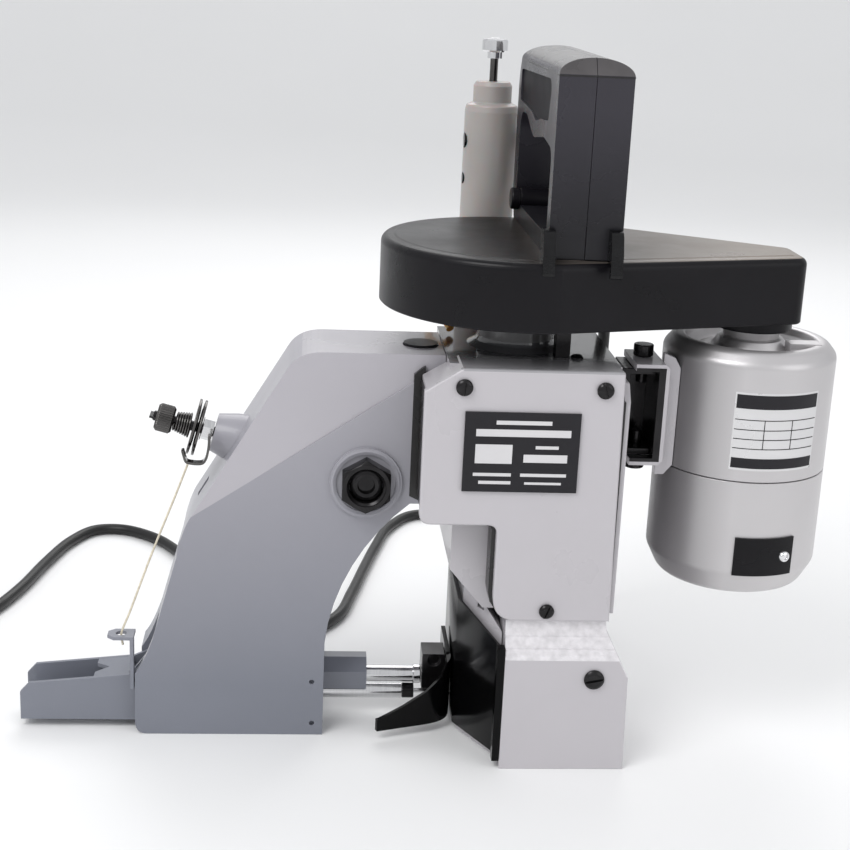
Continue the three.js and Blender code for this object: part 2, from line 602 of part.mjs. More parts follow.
// ---------------------------------------------------------------- motor
const motorHead = () => {
  const { x, y, r, seam, top, collarR, collarTop } = MOTOR;
  return turned([x, y], [
    [4 + GAP, 149], [4 + GAP, collarTop], [collarR, collarTop], [collarR, top - 5], [r - 11, top - 5],
    [r - 9.5, top], [r - 6, top], [r - 2, top - 2], [r, top - 7], [r, seam + GAP / 2], [0, seam + GAP / 2], [0, 149],
  ], 36);
};
const motorBody = () => {
  const { x, y, r, bottom, seam } = MOTOR;
  const drum = turned([x, y], [
    [0, bottom], [r - 8, bottom], [r - 2.5, bottom + 2], [r, bottom + 8],
    [r, seam - GAP / 2], [0, seam - GAP / 2],
  ], 36);
  return cut(drum, box([x - 4, x + 24.5], [y - 45, y - 31], [bottom + 11.5, bottom + 29.5]));
};
const brushCover = () => {
  const { x, y, bottom } = MOTOR;
  return box([x - 3.7, x + 24.2], [y - 31 - 4.4, y - 31 - GAP], [bottom + 11.8, bottom + 29.2])
    .intersect(rod('z', [x, y], MOTOR.r + 0.8, bottom, MOTOR.top, 64));
};

const motorBracket = () => {
  const profile = [
    [48, 179], [60, 179], [60, 139.5], [48, 139.5], [48, 136.5],
    [61, 136.5], [63, 138.5], [63, 180], [61, 182], [48, 182],
  ];
  const channel = push('xz', profile, -36, -8);
  const wing = push('xz', [[61, 131], [65, 131], [70, 137], [70, 177], [66, 184], [61, 186]], -31, -27.5);
  const pad = box([61, 68], [-22, -10], [142, 176]);
  return cut(
    join(channel, wing, pad),
    rod('z', [MOTOR.x, MOTOR.y], MOTOR.r + GAP, MOTOR.bottom, MOTOR.top, 64),
    rod('z', [54, -20], 2.8, 130, 190, 16),
  );
};
const frameBracket = () => {
  const x0 = FRAME.right + 2.8 + GAP;
  const profile = [
    [x0, 139.8], [58, 139.8], [58, 142.4], [x0 + 3, 142.4],
    [x0 + 3, 176.1], [58, 176.1], [58, 178.7], [x0, 178.7],
  ];
  const back = box([x0, 60 - GAP], [-12, -9], [139.8, 178.7]);
  return cut(join(push('xz', profile, -30, -9), back), rod('z', [54, -20], 2.8, 130, 190, 16));
};
const bracketBolt = (headZ, up) => {
  const head = up ? [headZ, headZ + 5.2] : [headZ - 5.2, headZ];
  const shank = up ? [headZ - 12, headZ + 0.1] : [headZ - 0.1, headZ + 12];
  return join(
    rod('z', [54, -20], 4.4, head[0], head[1], 20),
    rod('z', [54, -20], 2.5, shank[0], shank[1], 16),
  );
};

// ---------------------------------------------------------------- looper and feed
const looperShaft = () => rod('z', [6, 12], 4, 6, 60, 20);
const looper = () => cut(
  join(
    rod('z', [6, 12], 7, 9.2, 15.5, 24),
    push('xy', [[2, 6], [10, 8], [2, 17], [-6, 14], [-11.5, 4], [-11, 1.6], [-8.6, 4.6]], 6.2, 9.4),
  ),
  rod('z', [6, 12], 4 + GAP, 0, 30, 20),
);
const feedDog = () => {
  const teeth = Array.from({ length: 5 }, (_, i) => [
    [-19, 3 + i * 3], [-22.4, 3.4 + i * 3], [-21, 5.6 + i * 3], [-19, 6 + i * 3],
  ]);
  return join(
    box([-19.4, -9], [3, 18], [16, 20.6]),
    ...teeth.map((tooth) => push('xy', tooth, 16, 20.6)),
  );
};

// ---------------------------------------------------------------- handle
const handleLoop = () => {
  const { front, rear, bottom, top } = HANDLE;
  const s = new THREE.Shape();
  s.moveTo(front, bottom);
  s.lineTo(front, top - 13);
  s.quadraticCurveTo(front, top, front + 15, top);
  s.lineTo(rear - 22, top - 3);
  s.quadraticCurveTo(rear, top - 5, rear, top - 26);
  s.lineTo(rear, bottom + 9);
  s.quadraticCurveTo(rear, bottom, rear - 10, bottom);
  s.lineTo(front, bottom);
  return s;
};
const handleOpening = () => {
  const { postIn, deckTop, gripUnder } = HANDLE;
  const s = new THREE.Shape();
  s.moveTo(postIn[0], deckTop + 5);
  s.lineTo(postIn[0], gripUnder - 8);
  s.quadraticCurveTo(postIn[0], gripUnder, -38, gripUnder);
  s.quadraticCurveTo(-24, gripUnder + 3.5, -12, gripUnder + 0.5);
  s.quadraticCurveTo(2, gripUnder - 3, 14, gripUnder + 1);
  s.quadraticCurveTo(26, gripUnder + 5, 38, gripUnder + 5);
  s.quadraticCurveTo(postIn[1], gripUnder + 5, postIn[1], gripUnder - 9);
  s.lineTo(postIn[1], deckTop + 5);
  s.quadraticCurveTo(postIn[1], deckTop, postIn[1] - 5, deckTop);
  s.lineTo(postIn[0] + 5, deckTop);
  s.quadraticCurveTo(postIn[0], deckTop, postIn[0], deckTop + 5);
  return s;
};
const handleHalf = (x0, x1) => cut(
  push('yz', handleLoop(), x0, x1),
  push('yz', handleOpening(), x0 - 1, x1 + 1),
  box([11.5, 26], [-40.5, -17.5], [265, 288.4]), // trigger pocket
);
const trigger = () => push('yz', [
  [-40, 269], [-40, 284], [-18, 284], [-18, 273], [-22, 269], [-29, 267.4], [-36, 266],
], 12, 25.5);

// ---------------------------------------------------------------- oil pump
const pumpBody = () => {
  const { x, y, r, wall, stemR, neckR, shelf, shoulder, top } = PUMP;
  return turned([x, y], [
    [r - wall, shelf + 5], [r - wall, shoulder - 4], [stemR + 0.5, shoulder - 1], [stemR + 0.5, top],
    [neckR - 1, top], [neckR, top - 1], [neckR, shoulder + 1.4], [r - 1, shoulder], [r, shoulder - 1.5],
    [r, shelf + GAP], [0, shelf + GAP], [0, shelf + 5],
  ], 36);
};
const pumpPlunger = () => {
  const { x, y, r, wall, stemR, pistonZ, nutZ, knobTop } = PUMP;
  const pistonR = r - wall - 0.4;
  return turned([x, y], [
    [0, pistonZ], [pistonR, pistonZ], [pistonR, pistonZ + 6], [stemR, pistonZ + 6], [stemR, nutZ],
    [3.6, nutZ], [3.6, nutZ + 3], [5.6, nutZ + 3], [6.2, nutZ + 3.7], [6.2, knobTop - 1.6],
    [5, knobTop], [2, knobTop], [2, knobTop - 0.7], [0, knobTop - 0.7],
  ], 28);
};
const oilTube = () => tube([
  [-21.4, 75, 186], [-27, 73, 186.4], [-33, 60, 187], [-36, 42, 188], [-34, 26, 187.6],
  [-30, 17, 186.6], [-28.4, 13.4, 184.2],
], 1.9, 16, 8);

// ---------------------------------------------------------------- cord and thread
// The mains cord leaves the rear of the handle, drops to the floor and runs off to a coil on the left.
const RELIEF = { x: 24, y: [HANDLE.rear + GAP, HANDLE.rear + 27], z: 262, r: [6.5, 4.2] };
const CORD_ROUTE = [
  [24, 88.6, 262], [24.2, 95, 262], [28, 103, 261], [37, 109, 257], [50, 111, 248],
  [58, 113, 230], [62, 114, 205], [63, 115, 170],
  [63, 116, 130], [62, 117, 90], [61, 119, 50], [60, 125, 22], [58, 140, 7], [55, 163, CORD.floorZ],
  [47, 202, CORD.floorZ], [30, 240, CORD.floorZ], [3, 264, CORD.floorZ], [-22, 264, CORD.floorZ],
  [-39, 240, CORD.floorZ], [-49, 205, CORD.floorZ], [-57, 170, CORD.floorZ], [-65, 133, CORD.floorZ],
  [-74, 100, CORD.floorZ], [-92, 80, CORD.floorZ], [-116, 84, CORD.floorZ], [-135, 116, CORD.floorZ],
  [-152, 160, CORD.floorZ], [-167, 194, CORD.floorZ], [-183, 216, CORD.floorZ], [-203, 229, CORD.floorZ],
  [-219, 227, CORD.floorZ], [-231, 207, CORD.floorZ], [-240, 173, CORD.floorZ], [-247, 137, CORD.floorZ],
  [-256, 106, CORD.floorZ], [-266, 84, CORD.floorZ], [-275, 71, CORD.floorZ],
];
const COIL = { x: -318, y: 96, inner: 24, outer: 46, top: 19 };
const powerCord = () => tube(CORD_ROUTE, CORD.r, 78, CORD.sides);
const cordCoil = () => turned([COIL.x, COIL.y], [
  [COIL.inner, GAP], [COIL.outer, GAP], [COIL.outer, COIL.top], [COIL.inner, COIL.top],
], 32);
const cordRelief = () => rod('y', [RELIEF.x, RELIEF.z], RELIEF.r[0], ...RELIEF.y, 16, RELIEF.r[1]);
// A flat two-pin mains plug, lying on the left side of the coil and pointing to the rear.
const plug = () => {
  const z = COIL.top + GAP;
  const x = COIL.x - (COIL.inner + COIL.outer) / 2;
  const body = push('xy', [
    [-5, 6], [-12.5, 18], [-12.5, 41], [-10, 44], [10, 44], [12.5, 41], [12.5, 18], [5, 6],
  ].map(([a, b]) => [x + a, COIL.y + b]), z, z + 13.5);
  const pins = [-9.5, 9.5].map((side) => rod('y', [x + side, z + 6.8], 2.2, COIL.y + 43, COIL.y + 63, 12));
  return join(body, ...pins);
};
const sewingThread = () => tube([
  [-144.2, -12, 127.2], [-150, -14, 112], [-160, -17.2, 86], [-170, -20.4, 58],
  [-174, -21.7, 47], [-173.6, -19, 40],
], 0.55, 30, 6);

// ---------------------------------------------------------------- assembly
const plateFace = FRAME.chamberFront - GAP - PLATE.thick - GAP;
add('frame_housing', frameHousing(), ENAMEL);
add('front_cover_plate', frontCoverPlate(), ENAMEL);
add('nameplate', nameplate(), BLACK_ENAMEL);
add('cover_screw_upper_left', slottedScrew(-27.9, 175.2, 3.6, plateFace, 1.4), BLACK_STEEL);
add('cover_screw_upper_right', slottedScrew(31.4, 175.2, 3.6, plateFace, 1.4), BLACK_STEEL);
add('cover_screw_lower', slottedScrew(13, 75.2, 3.3, plateFace, 1.4), BLACK_STEEL);
add('looper_cover', looperCover(), ENAMEL);
add('looper_cover_screw', slottedScrew(35.8, 44.2, 4.5, -55 - GAP, 1.4), BLACK_STEEL);
add('side_cover_plate', sideCoverPlate(), ENAMEL);
add('throat_plate', throatPlate(), BLACK_ENAMEL);
add('arm_casting', armCasting(), ENAMEL);
add('oil_hole_plug', oilHolePlug(), BLACK_PLASTIC);
add('lever_shaft', leverShaft(), BLACK_STEEL);
add('lever_shaft_nut', leverShaftNut(), BLACK_STEEL);
add('needle_lever', needleLever(), BRIGHT_STEEL);
add('connecting_rod', connectingRod(), SILVER);
add('drive_eccentric', driveEccentric(), BRIGHT_STEEL);
add('needle_bar', needleBar(), BRIGHT_STEEL);
add('needle_clamp_nut', needleClampNut(), BLACK_STEEL);
add('needle', needle(), BRIGHT_STEEL);
add('presser_bar', presserBar(), BRIGHT_STEEL);
add('presser_spring', presserSpring(), BRIGHT_STEEL);
add('foot_clamp', footClamp(), BLACK_STEEL);
add('presser_foot', presserFoot(), BLACK_ENAMEL);
add('lift_lever', liftLever(), ENAMEL);
add('lifter_pin', lifterPin(), BRIGHT_STEEL);
add('thread_guide', threadGuide(), ENAMEL);
add('tension_post', tensionPost(), BLACK_STEEL);
add('tension_discs', tensionDiscs(), BLACK_STEEL);
add('tension_spring', tensionSpring(), BRIGHT_STEEL);
add('tension_knob', tensionKnob(), BLACK_STEEL);
add('thread_hook', threadHook(), BLACK_STEEL);
add('main_shaft', mainShaft(), BRIGHT_STEEL);
add('main_pulley', mainPulley(), SILVER);
add('timing_belt', timingBelt(), RUBBER);
add('motor_pulley', motorPulley(), BRIGHT_STEEL);
add('motor_shaft', motorShaft(), BRIGHT_STEEL);
add('belt_cover', beltCover(), BLACK_PLASTIC);
add('belt_cover_base', beltCoverBase(), BLACK_PLASTIC);
add('motor_head', motorHead(), SILVER);
add('motor_body', motorBody(), SILVER);
add('brush_cover', brushCover(), BLACK_PLASTIC);
add('motor_bracket', motorBracket(), ENAMEL);
add('frame_bracket', frameBracket(), BLACK_STEEL);
add('bracket_bolt_upper', bracketBolt(182 + GAP, true), BLACK_STEEL);
add('bracket_bolt_lower', bracketBolt(136.5 - GAP, false), BLACK_STEEL);
add('looper_shaft', looperShaft(), BRIGHT_STEEL);
add('looper', looper(), BRIGHT_STEEL);
add('feed_dog', feedDog(), BRIGHT_STEEL);
add('handle_left', handleHalf(HANDLE.left, HANDLE.parting - GAP / 2), BLACK_PLASTIC);
add('handle_right', handleHalf(HANDLE.parting + GAP / 2, HANDLE.right), BLACK_PLASTIC);
add('trigger', trigger(), BLACK_PLASTIC);
add('pump_body', pumpBody(), WHITE_PLASTIC);
add('pump_plunger', pumpPlunger(), BRIGHT_STEEL);
add('oil_tube', oilTube(), AMBER);
add('power_cord', powerCord(), RUBBER);
add('cord_coil', cordCoil(), RUBBER);
add('cord_relief', cordRelief(), RUBBER);
add('plug', plug(), RUBBER);
add('sewing_thread', sewingThread(), COTTON);

export default machine;
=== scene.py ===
import json
import math

import bmesh
import bpy
from mathutils import Matrix, Vector

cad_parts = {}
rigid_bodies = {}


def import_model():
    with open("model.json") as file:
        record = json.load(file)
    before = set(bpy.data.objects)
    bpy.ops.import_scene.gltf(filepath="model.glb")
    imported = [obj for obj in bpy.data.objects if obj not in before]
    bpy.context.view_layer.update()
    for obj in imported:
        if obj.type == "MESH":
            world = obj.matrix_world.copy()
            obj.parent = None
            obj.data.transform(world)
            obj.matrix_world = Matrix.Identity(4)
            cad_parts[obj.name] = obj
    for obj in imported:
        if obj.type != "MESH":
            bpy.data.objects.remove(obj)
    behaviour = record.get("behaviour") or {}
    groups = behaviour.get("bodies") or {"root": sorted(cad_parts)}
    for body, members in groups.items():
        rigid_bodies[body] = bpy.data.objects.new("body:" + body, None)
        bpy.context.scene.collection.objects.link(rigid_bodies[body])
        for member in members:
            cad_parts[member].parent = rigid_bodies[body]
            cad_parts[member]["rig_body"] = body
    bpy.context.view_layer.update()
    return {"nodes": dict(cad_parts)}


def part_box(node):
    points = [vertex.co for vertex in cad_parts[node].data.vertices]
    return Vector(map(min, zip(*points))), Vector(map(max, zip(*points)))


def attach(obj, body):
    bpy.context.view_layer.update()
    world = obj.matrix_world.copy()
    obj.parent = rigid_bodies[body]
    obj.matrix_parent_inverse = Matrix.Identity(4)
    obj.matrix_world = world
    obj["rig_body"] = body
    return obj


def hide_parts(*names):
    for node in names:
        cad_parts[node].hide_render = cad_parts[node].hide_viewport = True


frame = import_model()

# Looks of a portable bag closer sewing machine. Lengths below are in millimetres unless they say
# otherwise, and MM turns them into Blender's metres. +X runs to the motor, +Y to the rear, +Z up.
NODES = frame["nodes"]
MM = 0.001
AXES = {"x": (1, 2, 0), "y": (0, 2, 1), "z": (0, 1, 2)}  # where an outline's two numbers and its depth go


def span(node):
    """Lowest and highest corner of a CAD node, in millimetres."""
    low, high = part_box(node)
    return low / MM, high / MM


def middle(node):
    low, high = span(node)
    return (low + high) / 2


# ---------------------------------------------------------------- camera
EYE = Vector((-95.14, -671.09, 340.83)) * MM
PITCH, YAW, ROLL = (math.radians(a) for a in (16.44, 4.78, 2.61))
LENS = 65.42


def make_camera():
    across = Vector((math.cos(YAW), -math.sin(YAW), 0))
    ahead = Vector((math.sin(YAW) * math.cos(PITCH), math.cos(YAW) * math.cos(PITCH), -math.sin(PITCH)))
    up = across.cross(ahead)
    right = across * math.cos(ROLL) + up * math.sin(ROLL)
    top = up * math.cos(ROLL) - across * math.sin(ROLL)
    camera = bpy.data.objects.new("camera", bpy.data.cameras.new("camera"))
    camera.data.lens = LENS
    camera.matrix_world = Matrix.Translation(EYE) @ Matrix((right, top, -ahead)).transposed().to_4x4()
    bpy.context.scene.collection.objects.link(camera)
    bpy.context.scene.camera = camera


make_camera()


# ---------------------------------------------------------------- materials
def surface(name, colour, roughness, metallic=0.0, mottle=0.06, mottle_scale=30, grain=900, depth=0.02,
            rough_vary=0.06, stretch=(1, 1, 1), **sockets):
    """A finish with slow colour change, roughness that follows it, and a grain of depth millimetres."""
    material = bpy.data.materials.new(name)
    material.use_nodes = True
    nodes, links = material.node_tree.nodes, material.node_tree.links
    shader = nodes["Principled BSDF"]
    shader.inputs["Metallic"].default_value = metallic
    for socket, value in sockets.items():
        shader.inputs[socket.replace("_", " ")].default_value = value
    place = nodes.new("ShaderNodeMapping")
    place.inputs["Scale"].default_value = stretch
    links.new(nodes.new("ShaderNodeTexCoord").outputs["Object"], place.inputs["Vector"])

    def noise(scale, detail):
        texture = nodes.new("ShaderNodeTexNoise")
        texture.inputs["Scale"].default_value = scale
        texture.inputs["Detail"].default_value = detail
        links.new(place.outputs["Vector"], texture.inputs["Vector"])
        return texture.outputs["Fac"]

    slow = noise(mottle_scale, 5)
    fine = noise(grain, 3)
    ramp = nodes.new("ShaderNodeValToRGB")
    ramp.color_ramp.elements[0].position = 0.3
    ramp.color_ramp.elements[1].position = 0.7
    ramp.color_ramp.elements[0].color = (*(c * (1 - mottle) for c in colour), 1)
    ramp.color_ramp.elements[1].color = (*(min(1, c * (1 + mottle)) for c in colour), 1)
    links.new(slow, ramp.inputs["Fac"])
    links.new(ramp.outputs["Color"], shader.inputs["Base Color"])
    spread = nodes.new("ShaderNodeMapRange")
    spread.inputs["From Min"].default_value = 0.3
    spread.inputs["From Max"].default_value = 0.7
    spread.inputs["To Min"].default_value = roughness - rough_vary
    spread.inputs["To Max"].default_value = roughness + rough_vary
    links.new(slow, spread.inputs["Value"])
    links.new(spread.outputs["Result"], shader.inputs["Roughness"])
    bump = nodes.new("ShaderNodeBump")
    bump.inputs["Strength"].default_value = 1.0
    bump.inputs["Distance"].default_value = depth * MM
    links.new(fine, bump.inputs["Height"])
    links.new(bump.outputs["Normal"], shader.inputs["Normal"])
    return material


def flecked(material, colour, scale, share, strength=0.6):
    """Adds small flecks, such as paint chips or mould marks, over the base colour."""
    nodes, links = material.node_tree.nodes, material.node_tree.links
    shader = nodes["Principled BSDF"]
    base = shader.inputs["Base Color"].links[0].from_socket
    texture = nodes.new("ShaderNodeTexNoise")
    texture.inputs["Scale"].default_value = scale
    texture.inputs["Detail"].default_value = 6
    texture.inputs["Roughness"].default_value = 0.7
    links.new(nodes.new("ShaderNodeTexCoord").outputs["Object"], texture.inputs["Vector"])
    edge = nodes.new("ShaderNodeMapRange")
    edge.inputs["From Min"].default_value = share
    edge.inputs["From Max"].default_value = share + 0.03
    edge.inputs["To Max"].default_value = strength
    links.new(texture.outputs["Fac"], edge.inputs["Value"])
    mix = nodes.new("ShaderNodeMix")
    mix.data_type = "RGBA"
    mix.inputs["B"].default_value = (*colour, 1)
    links.new(edge.outputs["Result"], mix.inputs["Factor"])
    links.new(base, mix.inputs["A"])
    links.new(mix.outputs["Result"], shader.inputs["Base Color"])
    return material


def fade(material, colour, axis, start, end):
    """Blends the base colour towards another from start to end, in millimetres along an axis."""
    nodes, links = material.node_tree.nodes, material.node_tree.links
    shader = nodes["Principled BSDF"]
    split = nodes.new("ShaderNodeSeparateXYZ")
    reach = nodes.new("ShaderNodeMapRange")
    mix = nodes.new("ShaderNodeMix")
    links.new(nodes.new("ShaderNodeTexCoord").outputs["Object"], split.inputs["Vector"])
    links.new(split.outputs[axis], reach.inputs["Value"])
    reach.inputs["From Min"].default_value = start * MM
    reach.inputs["From Max"].default_value = end * MM
    mix.data_type = "RGBA"
    links.new(reach.outputs["Result"], mix.inputs["Factor"])
    links.new(shader.inputs["Base Color"].links[0].from_socket, mix.inputs["A"])
    mix.inputs["B"].default_value = (*colour, 1)
    links.new(mix.outputs["Result"], shader.inputs["Base Color"])
    return material


# Painted light: a lighter copy of the arm's enamel for its upward-tilted upper facet, standing for the light
# from above.
ARM_FACET_PAINTED_LIGHT = surface(
    "arm_facet_enamel_painted_light", (0.41, 0.395, 0.425), 0.28, mottle=0.03, mottle_scale=16, grain=300, depth=0.03,
    Coat_Weight=0.3,
)
# Painted shade: a darker copy of the grey enamel for the neck, which lies in the belt cover's shadow.
NECK_ENAMEL_PAINTED_SHADE = surface(
    "neck_enamel_painted_shade", (0.13, 0.128, 0.13), 0.22, mottle=0.1, mottle_scale=30, grain=300, depth=0.02,
    Coat_Weight=0.4,
)
ENAMEL = flecked(
    surface(
        "grey_enamel", (0.485, 0.466, 0.488), 0.3, mottle=0.02, mottle_scale=18, grain=420, depth=0.03,
        Coat_Weight=0.25,
    ),
    (0.16, 0.155, 0.16), 260, 0.74, 0.5,
)
# Painted shade and light: a darker, bluish copy of the grey enamel that lightens from 25 mm to 165 mm up. The
# dark bottom is painted shade and the blue tint a painted reflection.
COOL_ENAMEL_PAINTED_SHADE = fade(
    flecked(
        surface(
            "cool_grey_enamel_painted_shade", (0.178, 0.188, 0.222), 0.34, mottle=0.04, mottle_scale=16, grain=300,
            depth=0.05, Coat_Weight=0.15,
        ),
        (0.14, 0.14, 0.15), 240, 0.74, 0.5,
    ),
    (0.35, 0.34, 0.372), "Z", 25, 165,
)
# Painted light: a lighter, glossier copy of the grey enamel for the looper cover's up-facing slopes, standing
# for the light falling on them from above.
SLOPE_ENAMEL_PAINTED_LIGHT = surface(
    "slope_enamel_painted_light", (0.68, 0.66, 0.68), 0.14, mottle=0.12, mottle_scale=300, grain=330, depth=0.6,
    Coat_Weight=0.8,
)
BLACK_ENAMEL = surface(
    "black_enamel", (0.002, 0.002, 0.0022), 0.17, mottle=0.2, grain=350, depth=0.02,
    Specular_IOR_Level=0.13,
)
# Painted shade: the housing's top darkens from its front edge back towards the neck, under the belt cover.
TOP_ENAMEL_PAINTED_SHADE = fade(
    surface(
        "shaded_top_enamel", (0.34, 0.335, 0.35), 0.14, mottle=0.05, mottle_scale=40, grain=300,
        depth=0.03, Coat_Weight=0.4,
    ),
    (0.07, 0.07, 0.075), "Y", -46, -22,
)
PLATE_BLACK = surface(
    "nameplate_black", (0.012, 0.011, 0.014), 0.42, mottle=0.15, grain=900, depth=0.01,
    Specular_IOR_Level=0.3,
)
COVER_BLACK = flecked(
    surface(
        "black_moulding", (0.0045, 0.004, 0.0055), 0.33, mottle=0.25, mottle_scale=22, grain=1500,
        depth=0.025, rough_vary=0.1, Specular_IOR_Level=0.2,
    ),
    (0.07, 0.065, 0.06), 700, 0.74, 0.35,
)
# Painted sheen: the belt cover's black top lightens to a warm grey towards +X, a painted reflection on its
# gloss.
COVER_TOP_PAINTED_SHEEN = fade(
    surface(
        "cover_top_painted_sheen", (0.004, 0.0035, 0.0045), 0.34, mottle=0.3, mottle_scale=25, grain=1200,
        depth=0.03, rough_vary=0.1, Specular_IOR_Level=0.15,
    ),
    (0.22, 0.19, 0.165), "X", -12, 95,
)
# Painted light: the black grip lightens from 240 mm to 290 mm up, lighter at the top where the light falls.
GRIP_BLACK_PAINTED_LIGHT = fade(
    surface(
        "black_grip_painted_light", (0.007, 0.0065, 0.009), 0.3, mottle=0.3, mottle_scale=24, grain=1500, depth=0.03,
        rough_vary=0.1, Specular_IOR_Level=0.35,
    ),
    (0.032, 0.03, 0.038), "Z", 240, 290,
)
GRIP_PANEL = surface(
    "grip_panel", (0.02, 0.019, 0.022), 0.5, mottle=0.2, grain=1500, depth=0.02,
    Specular_IOR_Level=0.04,
)
# Wear and painted highlight: a lighter grey for the handle's up-facing cap and bevel, standing partly for
# worn plastic and partly for light from above.
GRIP_WORN_AND_LIT = surface(
    "worn_grip_painted_highlight", (0.065, 0.06, 0.062), 0.3, mottle=0.25, mottle_scale=60, grain=900, depth=0.03,
    rough_vary=0.08,
)
SCUFFED = surface(
    "scuffed_moulding", (0.003, 0.003, 0.0035), 0.2, mottle=0.4, mottle_scale=300, grain=900,
    depth=0.15, rough_vary=0.12, Specular_IOR_Level=0.3,
)
BLACK_STEEL = surface(
    "black_steel", (0.021, 0.02, 0.021), 0.2, 0.75, mottle=0.3, mottle_scale=120, grain=1200,
    depth=0.02,
)
BRIGHT_STEEL = surface(
    "bright_steel", (0.62, 0.62, 0.63), 0.16, 1.0, mottle=0.05, mottle_scale=90, grain=260, depth=0.006,
    stretch=(14, 1, 1),
)
CHROME = surface(
    "chrome", (0.74, 0.74, 0.75), 0.09, 1.0, mottle=0.03, grain=300, depth=0.002, rough_vary=0.03,
)
# Painted shade: the silver paint is dark on the motor's left side and lightens from 64 mm to 92 mm along X.
SILVER_PAINTED_SHADE = fade(
    surface(
        "silver_paint", (0.2, 0.195, 0.2), 0.36, 0.72, mottle=0.035, mottle_scale=40, grain=2600,
        depth=0.05, rough_vary=0.05,
    ),
    (0.56, 0.545, 0.552), "X", 64, 92,
)
ALUMINIUM = surface(
    "aluminium", (0.6, 0.6, 0.61), 0.3, 1.0, mottle=0.05, mottle_scale=60, grain=700, depth=0.01,
)
RUBBER = surface(
    "black_rubber", (0.009, 0.009, 0.009), 0.38, mottle=0.15, grain=1100, depth=0.02,
    Specular_IOR_Level=0.4,
)
# Painted shade: the white plastic is greyed down to stand for the handle's shadow on the pump.
WHITE_PLASTIC_PAINTED_SHADE = surface("white_plastic", (0.37, 0.345, 0.33), 0.33, mottle=0.05, grain=500, depth=0.01,
                        Subsurface_Weight=0.5, Subsurface_Scale=0.004)
AMBER = surface(
    "amber_tube", (0.62, 0.33, 0.09), 0.22, mottle=0.06, depth=0.01, Subsurface_Weight=0.4,
    Subsurface_Scale=0.002,
)
COTTON = surface(
    "cotton", (0.66, 0.6, 0.47), 0.85, mottle=0.15, mottle_scale=600, grain=2200, depth=0.15,
    Sheen_Weight=0.4,
)
DARK_POLISH = surface(
    "dark_polish", (0.11, 0.106, 0.103), 0.14, 1.0, mottle=0.15, mottle_scale=90, grain=500,
    depth=0.004,
)
SEAL = surface("black_seal", (0.01, 0.009, 0.009), 0.3, mottle=0.2, grain=900, depth=0.02)
PALE_PRINT = surface("pale_print", (0.62, 0.61, 0.62), 0.4, mottle=0.05, depth=0.005)
LABEL_FOIL = surface("label_foil", (0.66, 0.655, 0.66), 0.3, 0.35, mottle=0.03, depth=0.005)


# ---------------------------------------------------------------- mesh helpers
def body_of(node):
    return NODES[node]["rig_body"]


def put(name, shape, material, body, stands_for=(), crease=38, second=None, where=None):
    """Makes a piece of a bmesh built in millimetres, rides it on its body and gives it its finish.

    crease is the angle in degrees above which an edge stays sharp, or a function of the edge's middle.
    """
    bmesh.ops.recalc_face_normals(shape, faces=shape.faces)
    for edge in shape.edges:
        limit = crease((edge.verts[0].co + edge.verts[1].co) / 2) if callable(crease) else crease
        edge.smooth = edge.calc_face_angle(0) < math.radians(limit)
    if second:
        for face in shape.faces:
            face.material_index = int(where(face))
    bmesh.ops.scale(shape, vec=(MM, MM, MM), verts=shape.verts)
    mesh = bpy.data.meshes.new(name)
    shape.to_mesh(mesh)
    shape.free()
    mesh.materials.append(material)
    if second:
        mesh.materials.append(second)
    mesh.polygons.foreach_set("use_smooth", [True] * len(mesh.polygons))
    piece = bpy.data.objects.new(name, mesh)
    bpy.context.scene.collection.objects.link(piece)
    level = piece.modifiers.new("flat_faces", "WEIGHTED_NORMAL")
    level.keep_sharp = True
    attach(piece, body)
    if stands_for:
        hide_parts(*stands_for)
    return piece


def round_edges(shape, width, steps=3, least=30, where=lambda middle: True):
    """Rounds the edges that turn by more than least degrees and whose middle passes where."""
    sharp = [
        e for e in shape.edges
        if len(e.link_faces) == 2 and e.calc_face_angle(0) > math.radians(least)
        and where((e.verts[0].co + e.verts[1].co) / 2)
    ]
    bmesh.ops.bevel(
        shape, geom=sharp, offset=width, segments=steps, profile=0.5, affect="EDGES",
        clamp_overlap=True,
    )


def from_node(node):
    """The CAD node's shape in millimetres, with the triangles of each flat face joined."""
    shape = bmesh.new()
    shape.from_mesh(NODES[node].data)
    bmesh.ops.scale(shape, vec=(1 / MM, 1 / MM, 1 / MM), verts=shape.verts)
    bmesh.ops.remove_doubles(shape, verts=shape.verts, dist=0.01)
    bmesh.ops.dissolve_limit(shape, angle_limit=math.radians(0.7), verts=shape.verts, edges=shape.edges)
    return shape


def finished(node, material, width=0.4, steps=3, least=30, crease=38):
    """The CAD node with rounded edges."""
    shape = from_node(node)
    round_edges(shape, width, steps, least)
    return put(f"{node}_finished", shape, material, body_of(node), (node,), crease)


def rings(loops, closed=True, caps=True):
    """A skin over loops with the same number of points."""
    shape = bmesh.new()
    made = [[shape.verts.new(p) for p in loop] for loop in loops]
    count = len(made[0])
    for low, high in zip(made, made[1:]):
        for i in range(count if closed else count - 1):
            j = (i + 1) % count
            shape.faces.new((low[i], low[j], high[j], high[i]))
    if caps:
        shape.faces.new(reversed(made[0]))
        shape.faces.new(made[-1])
    return shape


